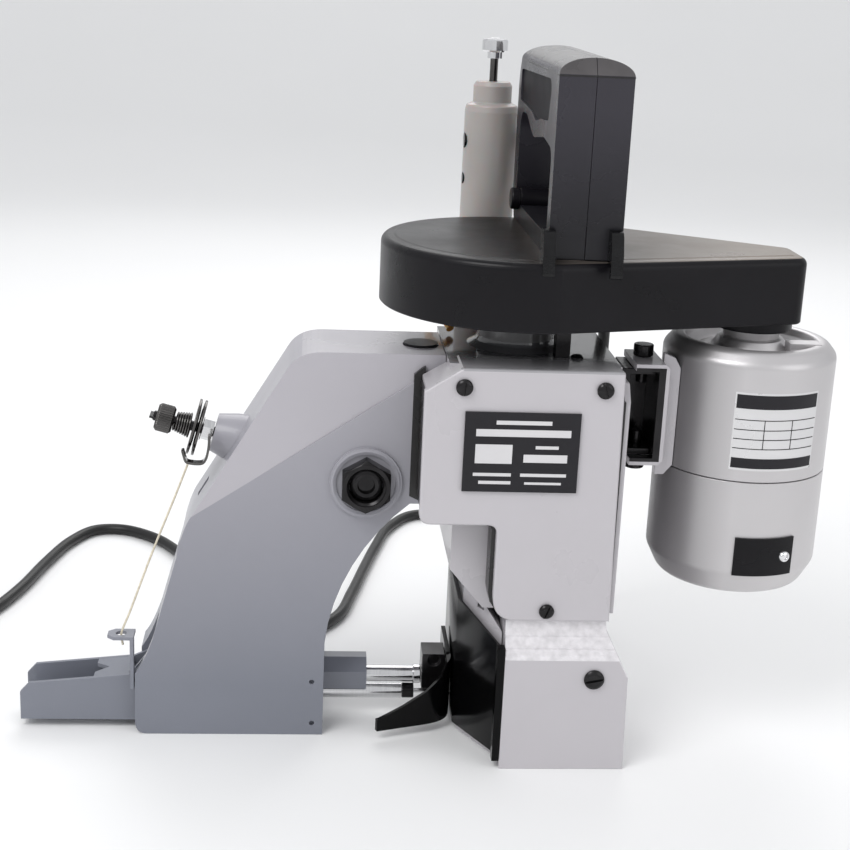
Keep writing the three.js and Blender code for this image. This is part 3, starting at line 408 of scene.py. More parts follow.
def fillet(section, steps=5):
    """Rounds a section's corners: each point is (r, h) or (r, h, radius of its corner)."""
    line = []
    count = len(section)
    for i, point in enumerate(section):
        here = Vector(point[:2])
        radius = point[2] if len(point) > 2 else 0
        if not radius or i in (0, count - 1):
            line.append(here)
            continue
        back = (Vector(section[i - 1][:2]) - here).normalized()
        on = (Vector(section[i + 1][:2]) - here).normalized()
        half = math.acos(max(-1, min(1, back.dot(on)))) / 2
        reach = radius / math.tan(half)
        start, end = here + back * reach, here + on * reach
        centre = here + (back + on).normalized() * (radius / math.sin(half))
        for k in range(steps + 1):
            t = k / steps
            spot = start.lerp(end, t) - centre
            line.append(centre + spot.normalized() * radius)
    return line


def lathe(section, at, axis="z", sides=96, wobble=lambda turn: 0):
    """A turned shape: a section of (radius, height) points about an axis through at."""
    a, b, c = AXES[axis]
    shape = bmesh.new()
    loops = []
    for r, h in fillet(section):
        spots = []
        for i in range(sides if r > 1e-6 else 1):
            turn = 2 * math.pi * i / sides
            spread = r + (wobble(turn) if r > 1e-6 else 0)
            spot = [0.0, 0.0, 0.0]
            spot[a] = at[0] + spread * math.cos(turn)
            spot[b] = at[1] + spread * math.sin(turn)
            spot[c] = h
            spots.append(shape.verts.new(spot))
        loops.append(spots)
    for low, high in zip(loops, loops[1:]):
        for i in range(sides):
            j = (i + 1) % sides
            corners = [low[i % len(low)], low[j % len(low)], high[j % len(high)], high[i % len(high)]]
            corners = list(dict.fromkeys(corners))
            if len(corners) > 2:
                shape.faces.new(corners)
    if len(loops[0]) > 1 and len(loops[-1]) > 1:
        for i in range(sides):
            j = (i + 1) % sides
            shape.faces.new((loops[-1][i], loops[-1][j], loops[0][j], loops[0][i]))
    return shape


def prism(points, axis, low, high):
    """A flat outline of (a, b) points pushed along an axis."""
    a, b, c = AXES[axis]

    def level(h):
        loop = []
        for p in points:
            spot = [0.0, 0.0, 0.0]
            spot[a], spot[b], spot[c] = p[0], p[1], h
            loop.append(spot)
        return loop

    return rings([level(low), level(high)])


def block(low, high):
    return prism([
        (low[0], low[1]), (high[0], low[1]), (high[0], high[1]), (low[0], high[1]),
    ], "z", low[2], high[2])


def circle(at, radius, sides=48, start=0.0):
    return [
        (
            at[0] + radius * math.cos(start + 2 * math.pi * i / sides),
            at[1] + radius * math.sin(start + 2 * math.pi * i / sides),
        )
        for i in range(sides)
    ]


def combine(shape, tool, how="DIFFERENCE"):
    """Cuts a shape with a tool, or keeps what both fill."""
    objects = []
    for part in (shape, tool):
        bmesh.ops.recalc_face_normals(part, faces=part.faces)
        mesh = bpy.data.meshes.new("part")
        part.to_mesh(mesh)
        part.free()
        objects.append(bpy.data.objects.new("part", mesh))
        bpy.context.scene.collection.objects.link(objects[-1])
    work = objects[0].modifiers.new("work", "BOOLEAN")
    work.object, work.operation, work.solver = objects[1], how, "EXACT"
    depsgraph = bpy.context.evaluated_depsgraph_get()
    result = bmesh.new()
    result.from_object(objects[0], depsgraph)
    for one in objects:
        mesh = one.data
        bpy.data.objects.remove(one)
        bpy.data.meshes.remove(mesh)
    bmesh.ops.remove_doubles(result, verts=result.verts, dist=0.0005)
    return result


def merged(*shapes):
    """Several closed shapes as one piece."""
    whole = bmesh.new()
    for shape in shapes:
        mesh = bpy.data.meshes.new("part")
        shape.to_mesh(mesh)
        shape.free()
        whole.from_mesh(mesh)
        bpy.data.meshes.remove(mesh)
    return whole


def smooth_line(points, steps=8):
    """Points on a centripetal Catmull-Rom curve through the given ones."""
    given = [Vector(p) for p in points]
    given = [2 * given[0] - given[1], *given, 2 * given[-1] - given[-2]]
    line = []
    for a, b, c, d in zip(given, given[1:], given[2:], given[3:]):
        before, here, after = ((q - p).length ** 0.5 for p, q in ((a, b), (b, c), (c, d)))
        leave = ((b - a) / before - (c - a) / (before + here) + (c - b) / here) * here
        arrive = ((c - b) / here - (d - b) / (here + after) + (d - c) / after) * here
        for i in range(steps):
            t = i / steps
            line.append(
                (2 * t**3 - 3 * t**2 + 1) * b + (t**3 - 2 * t**2 + t) * leave
                + (3 * t**2 - 2 * t**3) * c + (t**3 - t**2) * arrive
            )
    return [*line, given[-2]]


def wire(name, line, radius, material, body, stands_for=()):
    """A round wire, cord or tube as one open curve through points in millimetres."""
    curve = bpy.data.curves.new(name, "CURVE")
    curve.dimensions = "3D"
    curve.bevel_depth = radius * MM
    curve.bevel_resolution = 5
    curve.use_fill_caps = True
    spline = curve.splines.new("POLY")
    spline.points.add(len(line) - 1)
    spline.use_smooth = True
    for spot, p in zip(spline.points, line):
        spot.co = (*(Vector(p) * MM), 1)
    curve.materials.append(material)
    piece = bpy.data.objects.new(name, curve)
    bpy.context.scene.collection.objects.link(piece)
    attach(piece, body)
    if stands_for:
        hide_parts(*stands_for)
    return piece


# ---------------------------------------------------------------- mains cord
# The cord leaves the rear of the handle, drops behind the machine, wanders over the floor and is coiled.
CORD_R = 3.1
CORD_ROUTE = [
    (24, 88.6, 262), (24.2, 95, 262), (28, 103, 261), (37, 109, 257), (50, 111, 248), (58, 113, 230),
    (62, 114, 205), (63, 115, 170), (63, 116, 130), (62, 117, 90), (61, 119, 50), (60, 125, 22),
    (58, 140, 7), (55, 163, 3.4), (47, 202, 3.4), (30, 240, 3.4), (3, 264, 3.4), (-22, 264, 3.4),
    (-39, 240, 3.4), (-49, 205, 3.4), (-57, 170, 3.4), (-65, 133, 3.4), (-74, 100, 3.4), (-92, 80, 3.4),
    (-116, 84, 3.4), (-135, 116, 3.4), (-152, 160, 3.4), (-167, 194, 3.4), (-183, 216, 3.4),
    (-203, 229, 3.4), (-219, 227, 3.4), (-231, 207, 3.4), (-240, 173, 3.4), (-247, 137, 3.4),
    (-256, 106, 3.4), (-266, 84, 3.4), (-275, 71, 3.4),
]


def ease(t):
    t = max(0.0, min(1.0, t))
    return t * t * (3 - 2 * t)


def coil_line(plug_height):
    """Nine turns in three layers, then up and into the plug that lies on them."""
    low, high = span("cord_coil")
    centre, pitch = (low + high) / 2, 2 * CORD_R + 0.1
    mean = 35
    lanes = [mean + pitch, mean, mean - pitch]
    radii = [*lanes, *reversed(lanes), *lanes]
    floor = CORD_R + 0.3
    heights = [floor + pitch * (i // 3) for i in range(9)]
    start = math.atan2(CORD_ROUTE[-1][1] - centre.y, CORD_ROUTE[-1][0] - centre.x)
    first = math.hypot(CORD_ROUTE[-1][1] - centre.y, CORD_ROUTE[-1][0] - centre.x)
    per_turn = 36
    last = (start + math.pi) / (2 * math.pi)
    line = []
    for step in range(1, round((9 + last) * per_turn) + 1):
        turns = step / per_turn
        lap, part = min(int(turns), 8), turns - min(int(turns), 8)
        before = radii[lap - 1] if lap else first
        radius = before + (radii[lap] - before) * ease(part * 6)
        height = heights[lap]
        if lap < 8 and heights[lap + 1] > height:
            height += pitch * ease((part - 0.84) * 6.5)
        if lap == 8:
            height += pitch * ease((part - 0.17) / 0.83)
            radius += (mean - radius) * ease((part - 1) / last)
            height += (plug_height - floor - 3 * pitch) * ease((part - 1) / last)
        turn = start - 2 * math.pi * turns
        line.append((centre.x + radius * math.cos(turn), centre.y + radius * math.sin(turn), height))
    return line


def make_cord():
    """The cord with its ribbed relief and its plug."""
    plug_low, plug_high = span("plug")
    line = [(p.x, p.y, max(p.z, CORD_R + 0.3)) for p in smooth_line(CORD_ROUTE)]
    line += coil_line((plug_low.z + plug_high.z) / 2)
    line.append((line[-1][0], plug_low.y - 0.3, line[-1][2]))
    cord = wire("mains_cord", line, CORD_R, RUBBER, "frame", ("power_cord", "cord_coil"))
    plug = finished("plug", RUBBER, 1.6, 4)
    low, high = span("cord_relief")
    ribs = [(0, low.y)]
    for i in range(7):
        y, r = low.y + 2 + i * 3.4, 6.4 - i * 0.33
        ribs += [(r - 1.1, y, 0.3), (r - 1.1, y + 0.6, 0.3), (r, y + 0.8, 0.4), (r, y + 2.6, 0.4)]
    ribs += [(CORD_R + 0.5, high.y), (0, high.y)]
    centre = middle("cord_relief")
    relief = put(
        "cord_relief_ribbed", lathe(ribs, (centre.x, centre.z), "y", 48), RUBBER, "frame",
        ("cord_relief",),
    )


make_cord()


# ---------------------------------------------------------------- castings
LOOPER_FRONT = -58
FACET_LOW = (-140.3, 107)  # where the crease across the arm starts, as x and z
FACET_RISE = (178.9 - 107) / (140.3 - 32)
DECK = 181.45  # above this height the housing is its neck and its shaded top


def castings():
    """The housing, its covers and the arm, with worn cast edges, painted shade on the housing's top and
    painted light on the arm's upper facet.
    """
    for node, big in (("frame_housing", 1.2), ("front_cover_plate", 1.0), ("side_cover_plate", 0.8)):
        shape = from_node(node)
        low, high = span(node)
        round_edges(shape, big, 4, 24, lambda m: m.y < low.y + 0.4 or m.z > high.z - 0.4)
        put(f"{node}_finished", shape, ENAMEL, "frame", (node,), 26, TOP_ENAMEL_PAINTED_SHADE,
            lambda face: face.calc_center_median().z > DECK)
    shape = from_node("arm_casting")
    round_edges(shape, 1.6, 5, 24, lambda m: m.y < -26.5 and m.z < 180 or m.z > 180.5)
    bmesh.ops.bisect_plane(
        shape, geom=[*shape.verts, *shape.edges, *shape.faces], dist=0.001,
        plane_co=(FACET_LOW[0], 0, FACET_LOW[1]), plane_no=Vector((-FACET_RISE, 0, 1)).normalized(),
    )

    # Faces above the crease take the lighter facet enamel, a painted highlight from above.
    def above_crease(face):
        spot = face.calc_center_median()
        return spot.z > 179 or (
            spot.y < -20
            and spot.x < -33
            and spot.z > FACET_LOW[1] + (spot.x - FACET_LOW[0]) * FACET_RISE
        )

    def crease(m):
        return 30 if m.z > 122 and m.x < -100 and m.y > -18 else 1.6

    # The arm takes the enamel with painted shade below, and the lighter facet enamel as painted light above
    # the crease.
    put(
        "arm_casting_finished", shape, COOL_ENAMEL_PAINTED_SHADE, "frame", ("arm_casting",), crease, ARM_FACET_PAINTED_LIGHT,
        above_crease,
    )


def chamber_seal():
    """The black band between the cover plate and the housing, and a black sheet in the gap beside the arm
    that stands for the shade there (painted shade).
    """
    low, high = span("front_cover_plate")
    left, step, cut_x, bottom = low.x + 1, 115, -10.6, low.z + 1

    def band(path, thick):
        outer = []
        for i, p in enumerate(path):
            ahead = Vector(path[min(i + 1, len(path) - 1)]) - Vector(path[max(i - 1, 0)])
            side = Vector((ahead.y, -ahead.x)).normalized()
            outer.append(Vector(p) + side * thick)
        return prism([*path, *reversed(outer)], "y", high.y + 0.1, -29)

    edge = [(left, high.z - 12), (left, step + 5)]
    edge += [(left + 5 - 5 * math.cos(a), step + 5 - 5 * math.sin(a)) for a in (0.39, 0.79, 1.18, 1.57)]
    edge += [(cut_x - 4, step)]
    put("chamber_seal_left", band(edge, 0.55), SEAL, "frame")
    inner = [(cut_x - 5, step), (cut_x - 1.2, step - 1.2), (cut_x, step - 4), (cut_x, bottom + 11)]
    inner += [
        (cut_x + 10 - 10 * math.cos(a), bottom + 11 - 10 * math.sin(a))
        for a in (0.39, 0.79, 1.18, 1.57)
    ]
    put("chamber_seal_cutout", band(inner, 1.9), SEAL, "frame")
    # A black sheet in the gap beside the arm: painted shade where the gap is dark.
    gap = prism([(-46.9, 117.3), (-42, 115), (-42, 176.5), (-44, 175.2), (-46.9, 172.6)], "y", -27.25, -25)
    put("arm_gap_painted_shade", gap, SEAL, "frame")
    side = span("side_cover_plate")[0]
    put(
        "side_seal", block((side.x - 0.6, high.y + 0.3, low.z + 2), (side.x + 0.25, -38, high.z - 14)),
        SEAL, "frame",
    )


def nameplate():
    """A blank plate: black enamel with plain pale bars."""
    low, high = span("nameplate")
    plate = block(low, high)
    round_edges(plate, 0.3, 3)
    put("nameplate_blank", plate, PLATE_BLACK, "frame", ("nameplate",))
    face, lift = low.y, 0.1
    wide, tall = high.x - low.x, high.z - low.z
    bars = [
        block((
            low.x + wide * x0, face - lift, low.z + tall * z0,
        ), (low.x + wide * x1, face + 0.05, low.z + tall * z1))
        for x0, x1, z0, z1 in (
            (0.27, 0.75, 0.85, 0.9), (0.1, 0.92, 0.7, 0.79), (0.1, 0.42, 0.36, 0.6),
            (0.62, 0.82, 0.55, 0.59), (0.52, 0.9, 0.38, 0.48), (0.09, 0.42, 0.2, 0.24),
            (0.5, 0.9, 0.2, 0.24), (0.14, 0.42, 0.1, 0.14), (0.54, 0.86, 0.1, 0.13),
        )
    ]
    put("nameplate_print", merged(*bars), PALE_PRINT, "frame")


def looper_block():
    """The looper's cover: a plain front, ridges and slopes above it, and chamfered right-hand corners."""
    front = prism([(-4, 0), (52, 0), (51, 45), (41, 64.6), (40.5, 69.4), (-4, 69.4)], "y", LOOPER_FRONT, -6)
    side = [
        (LOOPER_FRONT + a, z)
        for a, z in (
            (0, 0), (0, 53.2), (0.25, 54.2), (0.9, 54.8), (1.2, 57.4), (2.4, 57.9), (3.9, 62.3),
            (4.9, 62.8), (6.2, 69.4),
        )
    ] + [(-6, 69.4), (-6, 0)]
    shape = combine(front, prism(side, "x", -5, 53), "INTERSECT")
    shape = combine(shape, block((-6, -32, 2), (2, -5, 61)))
    round_edges(shape, 0.35, 3, 14, lambda m: m.y < -40 and m.z < 69)

    # Up-facing faces at the front take the lighter slope enamel as painted light.
    def slope(face):
        return face.normal.z > 0.05 and face.calc_center_median().y < -50

    put("looper_cover_block", shape, ENAMEL, "frame", ("looper_cover",), 12, SLOPE_ENAMEL_PAINTED_LIGHT, slope)
    edge = block((-7.4, LOOPER_FRONT + 0.4, 3.6), (-4.2, -53, 58))
    round_edges(edge, 1.5, 5, 30)
    put("throat_edge", edge, BLACK_ENAMEL, "frame")


castings()
looper_block()
chamber_seal()
nameplate()


# ---------------------------------------------------------------- screws and nuts
def slotted_head(
    name, at, radius, base, height, axis="y", turn=0.2, material=None, body="frame", stands_for=(),
):
    """A domed screw head with a sawn slot, standing on base and rising by height towards its low end."""
    way = -1 if height < 0 else 1
    dome = lathe([
        (0, base), (radius - 0.15, base), (radius, base + 0.15 * way), (radius, base + height * 0.45),
        (radius * 0.72, base + height * 0.88, radius * 0.6), (0, base + height),
    ], at, axis, 56)
    slot = block((-radius * 1.2, -radius * 0.13, -0.55 * abs(height)), (radius * 1.2, radius * 0.13, 2))
    spin = Matrix.Rotation(turn, 4, "Z")
    a, b, c = AXES[axis]
    columns = [[0, 0, 0], [0, 0, 0], [0, 0, 0]]
    columns[a][0], columns[b][1], columns[c][2] = 1, 1, way
    lay = Matrix(columns).to_4x4() @ spin
    place = [0, 0, 0]
    place[a], place[b], place[c] = at[0], at[1], base + height
    bmesh.ops.transform(slot, matrix=Matrix.Translation(place) @ lay, verts=slot.verts)
    head = combine(dome, slot)
    round_edges(head, 0.12, 2, 40)
    put(name, head, material or BLACK_STEEL, body, stands_for, 30)


def cover_screws():
    for node, turn in (
        ("cover_screw_upper_left", 1.5), ("cover_screw_upper_right", 1.9), ("cover_screw_lower", 1.2),
        ("looper_cover_screw", 0.2),
    ):
        low, high = span(node)
        base = LOOPER_FRONT if node == "looper_cover_screw" else high.y
        slotted_head(f"{node}_head", ((low.x + high.x) / 2, (low.z + high.z) / 2), (high.x - low.x) / 2, base,
                     low.y - high.y - 0.4, "y", turn, stands_for=(node,))


def side_hardware():
    """Screws of the side cover, and the latch pin of the looper cover."""
    high = span("side_cover_plate")[1]
    for i, (y, z) in enumerate(((-38, 161), (-40, 84), (15, 161), (15, 84))):
        slotted_head(f"side_cover_screw_{i}", (y, z), 3.4, high.x, 1.9, "x", 0.5 + i)
    edge = span("looper_cover")[1].x
    pin = lathe([
        (0, edge - 1.2), (2.1, edge - 1.2), (2.1, edge + 1.2), (5.6, edge + 1.2, 0.4),
        (5.6, edge + 2.6, 0.5), (4.4, edge + 3.1, 0.4), (3.6, edge + 2.7, 0.3), (0, edge + 2.7),
    ], (-36, 27), "x", 64)
    put("looper_cover_latch", pin, CHROME, "frame")


def hex_prism(at, flat, axis, low, high):
    """A six-sided bar, flat millimetres across its flats."""
    return prism(circle(at, flat / math.sqrt(3), 6, math.pi / 6), axis, low, high)


def shaft_nut():
    """The black nut on the rocking shaft, chamfered, with the shaft's recessed end inside it."""
    node_low, node_high = span("lever_shaft_nut")
    centre = middle("lever_shaft_nut")
    at, front, back = (centre.x, centre.z), node_low.y, node_high.y
    across = node_high.x - node_low.x
    outer = (node_high.z - node_low.z) / 2
    body = hex_prism(at, across, "y", front, back)
    turned_off = lathe([
        (0, front - 0.02), (outer - 1.9, front - 0.02), (outer + 0.15, front + 1.2),
        (outer + 0.15, back + 0.02), (0, back + 0.02),
    ], at, "y", 96)
    nut = combine(body, turned_off, "INTERSECT")
    bore = lathe([
        (0, front - 1), (8.6, front - 1), (8.6, front + 0.4), (7.4, front + 1.5), (7.4, back + 1),
        (0, back + 1),
    ], at, "y", 64)
    nut = combine(nut, bore)
    round_edges(nut, 0.25, 2, 40)
    put("lever_shaft_nut_hex", nut, BLACK_STEEL, "frame", ("lever_shaft_nut",), 30)
    low, high = span("lever_shaft")
    shaft = lathe([
        (0, low.y + 3.4), (3.4, low.y + 3.4), (3.9, low.y + 1.1), (5.3, low.y + 0.7, 0.3),
        (7.0, low.y + 1.3, 0.4), (7.0, high.y - 0.5), (6.5, high.y), (0, high.y),
    ], at, "y", 64)
    put("lever_shaft_end", shaft, BLACK_STEEL, "frame", ("lever_shaft",))
    ring = lathe([
        (13.2, front + 6.6), (14.6, front + 6.2, 0.4), (15.6, front + 6.6, 0.4), (15.9, front + 8),
        (13.2, front + 8),
    ], at, "y", 96)
    put("boss_ring", ring, COOL_ENAMEL_PAINTED_SHADE, "frame")


def neck():
    """A turned sleeve in a darker copy of the enamel, painted shade under the belt cover, between the housing
    and the belt cover, and the small parts beside it.
    """
    sleeve = lathe([
        (16.8, 181.5), (19.2, 181.5), (18.1, 182.3), (17.4, 184, 1), (17.4, 199.8), (16.8, 199.8),
    ], (0, 0), "z", 128)
    put("neck_sleeve_painted_shade", sleeve, NECK_ENAMEL_PAINTED_SHADE, "frame")
    post = block((14, -27, 181.4), (20.3, -20, 199.6))
    round_edges(post, 0.8, 3)
    put("neck_post", post, BLACK_STEEL, "frame")
    slotted_head("neck_screw", (23.4, -27), 2.9, 181.4, 2.4, "z", 0.4)


cover_screws()
side_hardware()
shaft_nut()
neck()


# ---------------------------------------------------------------- belt cover
MOTOR_AT = (103, -14)
COVER_R, END_R = 62, 6.5
END_FRONT, END_REAR = Vector((114.5, -24.5)), Vector((114.5, -5.5))
CREASE = math.radians(8)  # how far short of the tangent the round part stops at the front


def cover_outline(inset, height):
    """The cover's outline, moved in by inset: a round about the shaft and flanks to a square end."""

    def lean(corner):
        return math.acos((COVER_R - END_R) / corner.length)

    rear = math.atan2(END_REAR.y, END_REAR.x) + lean(END_REAR)
    front = math.atan2(END_FRONT.y, END_FRONT.x) - lean(END_FRONT) + 2 * math.pi
    arcs = (
        (Vector((0, 0)), COVER_R, rear, front - CREASE, 120), (END_FRONT, END_R, front, 2 * math.pi, 16),
        (END_REAR, END_R, 0, rear, 16),
    )
    spots = []
    for centre, radius, start, end, steps in arcs:
        for i in range(steps + 1):
            turn = start + (end - start) * i / steps
            spots.append((
                centre.x + (radius - inset) * math.cos(turn),
                centre.y + (radius - inset) * math.sin(turn), height,
            ))
    return spots


def make_belt_cover():
    """The moulded cover with a raised top, its base and the collar on the motor."""
    low, high = span("belt_cover")
    bottom, top, round_r, wall = low.z, high.z, 3.4, 2.5
    profile = [
        (wall + 3, top - wall), (wall, top - wall), (wall, bottom), (0.6, bottom), (0.0, bottom + 0.6),
        (0.0, top - round_r),
    ]
    for k in range(1, 8):
        a = math.pi / 2 * k / 7
        profile.append((round_r * (1 - math.cos(a)), top - round_r * (1 - math.sin(a))))
    profile += [(5.4, top + 0.15), (6.3, top + 0.5)]
    put(
        "belt_cover_moulding", rings([cover_outline(i, h) for i, h in profile]), COVER_BLACK, "frame",
        ("belt_cover",), 6, COVER_TOP_PAINTED_SHEEN,
        lambda face: face.normal.z > 0.8 and face.calc_center_median().z > top - 0.5,
    )
    finished("belt_cover_base", COVER_BLACK, 0.4)
    collar = lathe([(13, 199.9), (17.4, 199.9), (17.4, 195.5, 0.8), (13, 195.2)], MOTOR_AT, "z", 96)
    put("belt_cover_collar", collar, COVER_BLACK, "frame")


make_belt_cover()


# ---------------------------------------------------------------- handle
def rounded(points):
    """An outline with rounded corners: each point is (a, b, radius)."""
    return [(p.x, p.y) for p in fillet([points[-1][:2], *points, points[0][:2]], 6)[1:-1]]


def make_handle():
    """Two moulded halves with an arched top, a bevelled front, sunk side panels and a wavy grip."""
    low, high = span("handle_left")
    left, right = low.x, span("handle_right")[1].x
    parting = (high.x + span("handle_right")[0].x) / 2
    half, spring, rise = (right - left) / 2, 303.4, 6.6
    front, rear, foot = low.y, high.y + 4.5, low.z - 1.7
    side = rounded([
        (front, foot, 0.5), (rear - 8, foot, 2), (rear, foot + 14, 8), (rear, 311, 22),
        (front, 311, 0.5),
    ])
    opening = rounded([
        (-45, 238, 4), (-45, 273, 6), (-22, 275.5, 26), (10, 272, 30), (32, 280, 22), (53, 280, 9),
        (53, 238, 4),
    ])
    panel = rounded([
        (-31, 283, 3), (-9, 281.8, 6), (5, 279.6, 8), (20, 282.5, 8), (58, 284.5, 3), (58, 298.6, 3),
        (-36.5, 300.2, 5),
    ])
    arch = [(left, foot - 1), (right, foot - 1)]
    arch += [
        (parting + half * math.cos(t), spring + rise * math.sin(t))
        for t in (math.pi * k / 28 for k in range(29))
    ]
    bevel = [
        (front - 5, spring + 0.1), (front, spring + 0.1), (front + 6.5, spring + 9),
        (front - 5, spring + 9),
    ]
    for edge, inner, node in ((left, parting - 0.1, "handle_left"), (right, parting + 0.1, "handle_right")):
        way = 1 if edge < inner else -1
        low_x, high_x = min(edge, inner), max(edge, inner)
        shape = prism(side, "x", low_x, high_x)
        shape = combine(shape, prism(arch, "y", front - 1, rear + 1), "INTERSECT")
        shape = combine(shape, prism(opening, "x", low_x - 1, high_x + 1))
        shape = combine(shape, prism(bevel, "x", low_x - 1, high_x + 1))
        shape = combine(
            shape,
            prism(panel, "x", min(edge - way, edge + way * 1.3), max(edge - way, edge + way * 1.3)),
        )
        round_edges(shape, 0.55, 3, 34)

        # Up-facing faces of the cap and bevel take the lighter grip: wear and a painted highlight.
        def worn(face):
            spot, facing = face.calc_center_median(), face.normal
            return facing.z > 0.3 and spot.z > spring and (facing.y < -0.5 or facing.z > 0.6)

        put(f"{node}_moulding", shape, GRIP_BLACK_PAINTED_LIGHT, "frame", (node,), 32, GRIP_WORN_AND_LIT, worn)
    for name, x in (("left", left + 0.9), ("right", right - 1.35)):
        put(f"handle_panel_{name}", prism(panel, "x", x, x + 0.45), GRIP_PANEL, "frame")
    seam = [
        (left - 0.08, front - 0.08), (right + 0.08, front - 0.08), (right + 0.08, rear - 12),
        (left - 0.08, rear - 12),
    ]
    put("handle_cap_seam", prism(seam, "z", spring - 0.8, spring - 0.2), SEAL, "frame")
    lug = rounded([
        (0, -1.6, 0.2), (0, 11.5, 1.5), (-6.6, 11.5, 4.6), (-9.4, 2, 4), (-10.2, -7.5, 1.6),
        (-7.9, -7.5, 1), (-7.6, -1.6, 1),
    ])
    for i, x in enumerate((left - 3.1, right - 5.8)):
        shape = prism([(low.y + 0.6 + a, low.z + b) for a, b in lug], "x", x, x + 5)
        round_edges(shape, 1.9, 6, 24)
        put(f"handle_lug_{i}", shape, SCUFFED, "frame")
    barrel = lathe([
        (0, -0.6), (5, -0.6, 1), (5, 3.2, 0.3), (4.6, 3.4), (4.6, 3.9), (5, 4.1, 0.3), (5, 30, 1),
        (0, 30),
    ], (42, 240.5), "x", 64)
    put("handle_rear_pin", barrel, COVER_BLACK, "frame")


make_handle()
finished("trigger", COVER_BLACK, 0.9, 4)


# ---------------------------------------------------------------- motor
def on_drum(turn, z, reach, centre, radius):
    return (centre.x + (radius + reach) * math.cos(turn), centre.y + (radius + reach) * math.sin(turn), z)


def drum_patch(turns, heights, reach, centre, radius, steps=40):
    """A thin patch that hugs the drum between two angles and two heights."""
    a0, a1 = (math.radians(t) for t in turns)
    loops = []
    for k in range(steps + 1):
        turn = a0 + (a1 - a0) * k / steps
        loops.append([
            on_drum(turn, heights[0], -0.15, centre, radius),
            on_drum(turn, heights[1], -0.15, centre, radius),
            on_drum(turn, heights[1], reach, centre, radius),
            on_drum(turn, heights[0], reach, centre, radius),
        ])
    return rings(loops)


def make_motor():
    """The motor's head and body, its brush cover and a label with plain rules."""
    head_low, head_high = span("motor_head")
    body_low, body_high = span("motor_body")
    centre, radius = middle("motor_head"), (head_high.x - head_low.x) / 2
    at, seam = (centre.x, centre.y), (head_low.z + body_high.z) / 2
    collar_top = head_high.z
    head = lathe([
        (4.4, seam + 12), (4.4, collar_top - 0.5), (12.2, collar_top - 0.5), (12.2, 191.5),
        (14.2, 191, 0.8), (16.6, 187.2, 2.5), (25, 184.5, 3), (28, 188, 2), (29, 191.3, 1.6),
        (radius - 4.5, 191.3, 5), (radius, 186, 5), (radius, seam + 0.35, 0.3),
        (radius - 0.6, seam + 0.1), (20, seam + 0.1), (20, seam + 12),
    ], at, "z", 160)
    put("motor_head_turned", head, SILVER_PAINTED_SHADE, "frame", ("motor_head",))
    window = block((centre.x + 13, centre.y - 17, 184.5), (centre.x + 27, centre.y - 9, 191.6))
    round_edges(window, 1.6, 4)
    put("motor_top_lug", window, SILVER_PAINTED_SHADE, "frame")
    bottom = body_low.z
    body = lathe([
        (0, seam - 0.1), (radius - 0.6, seam - 0.1), (radius, seam - 0.35, 0.3),
        (radius, bottom + 12, 6), (radius - 5.5, bottom + 1.2, 6), (radius - 13, bottom, 4),
        (9, bottom, 1), (8, bottom + 1.2, 1), (0, bottom + 1.2),
    ], at, "z", 160)
    put("motor_body_turned", body, SILVER_PAINTED_SHADE, "frame", ("motor_body",))
    low, high = span("brush_cover")
    put(
        "brush_cover_plate", drum_patch((-103, -61.5), (low.z, high.z), 0.9, centre, radius),
        COVER_BLACK, "frame", ("brush_cover",),
    )
    screw_turn, screw_r = math.radians(-68.6), 2.7
    section = [(0, 0), (1, 0), (1, 0.5), (0.8, 1.5, 0.6), (0.45, 1.8), (0.4, 1.2), (0, 1.2)]
    screw = lathe([(screw_r * r, *rest) for r, *rest in section], (0, 0), "z", 48)
    place = Matrix.Translation(on_drum(screw_turn, (low.z + high.z) / 2, 0.8, centre, radius))
    aim = Vector((math.cos(screw_turn), math.sin(screw_turn), 0)).to_track_quat("Z", "Y")
    bmesh.ops.transform(screw, verts=screw.verts, matrix=place @ aim.to_matrix().to_4x4())
    put("brush_screw", screw, CHROME, "frame")
    label = [((-112, -52.5), (140, 174.5), 0.12, LABEL_FOIL)]
    label += [((-111, -53.5), z, 0.22, PLATE_BLACK) for z in ((167.5, 173.6), (141, 145.5))]
    label += [((-111, -53.5), (z, z + 0.35), 0.2, BLACK_ENAMEL) for z in (149.6, 153.8, 158, 162.4)]
    label += [((t, t + 0.5), (149.6, 162.6), 0.2, BLACK_ENAMEL) for t in (-92, -73)]
    for i, (turns, heights, reach, material) in enumerate(label):
        put(f"motor_label_{i}", drum_patch(turns, heights, reach, centre, radius), material, "frame")


make_motor()


def bracket_liner():
    """The black lining that closes the inside of the motor bracket's channel."""
    front, web = span("motor_bracket")[0].y, 61.3
    liner = merged(
        block((58.3, front - 0.1, 138.2), (web, -12.4, 180.4)),
        block((48.2, front - 0.1, 178.75), (58.3, -30.3, 180.4)),
        block((48.2, front - 0.1, 138.2), (58.3, -30.3, 139.7)),
    )
    put("bracket_liner", liner, BLACK_STEEL, "frame")


bracket_liner()


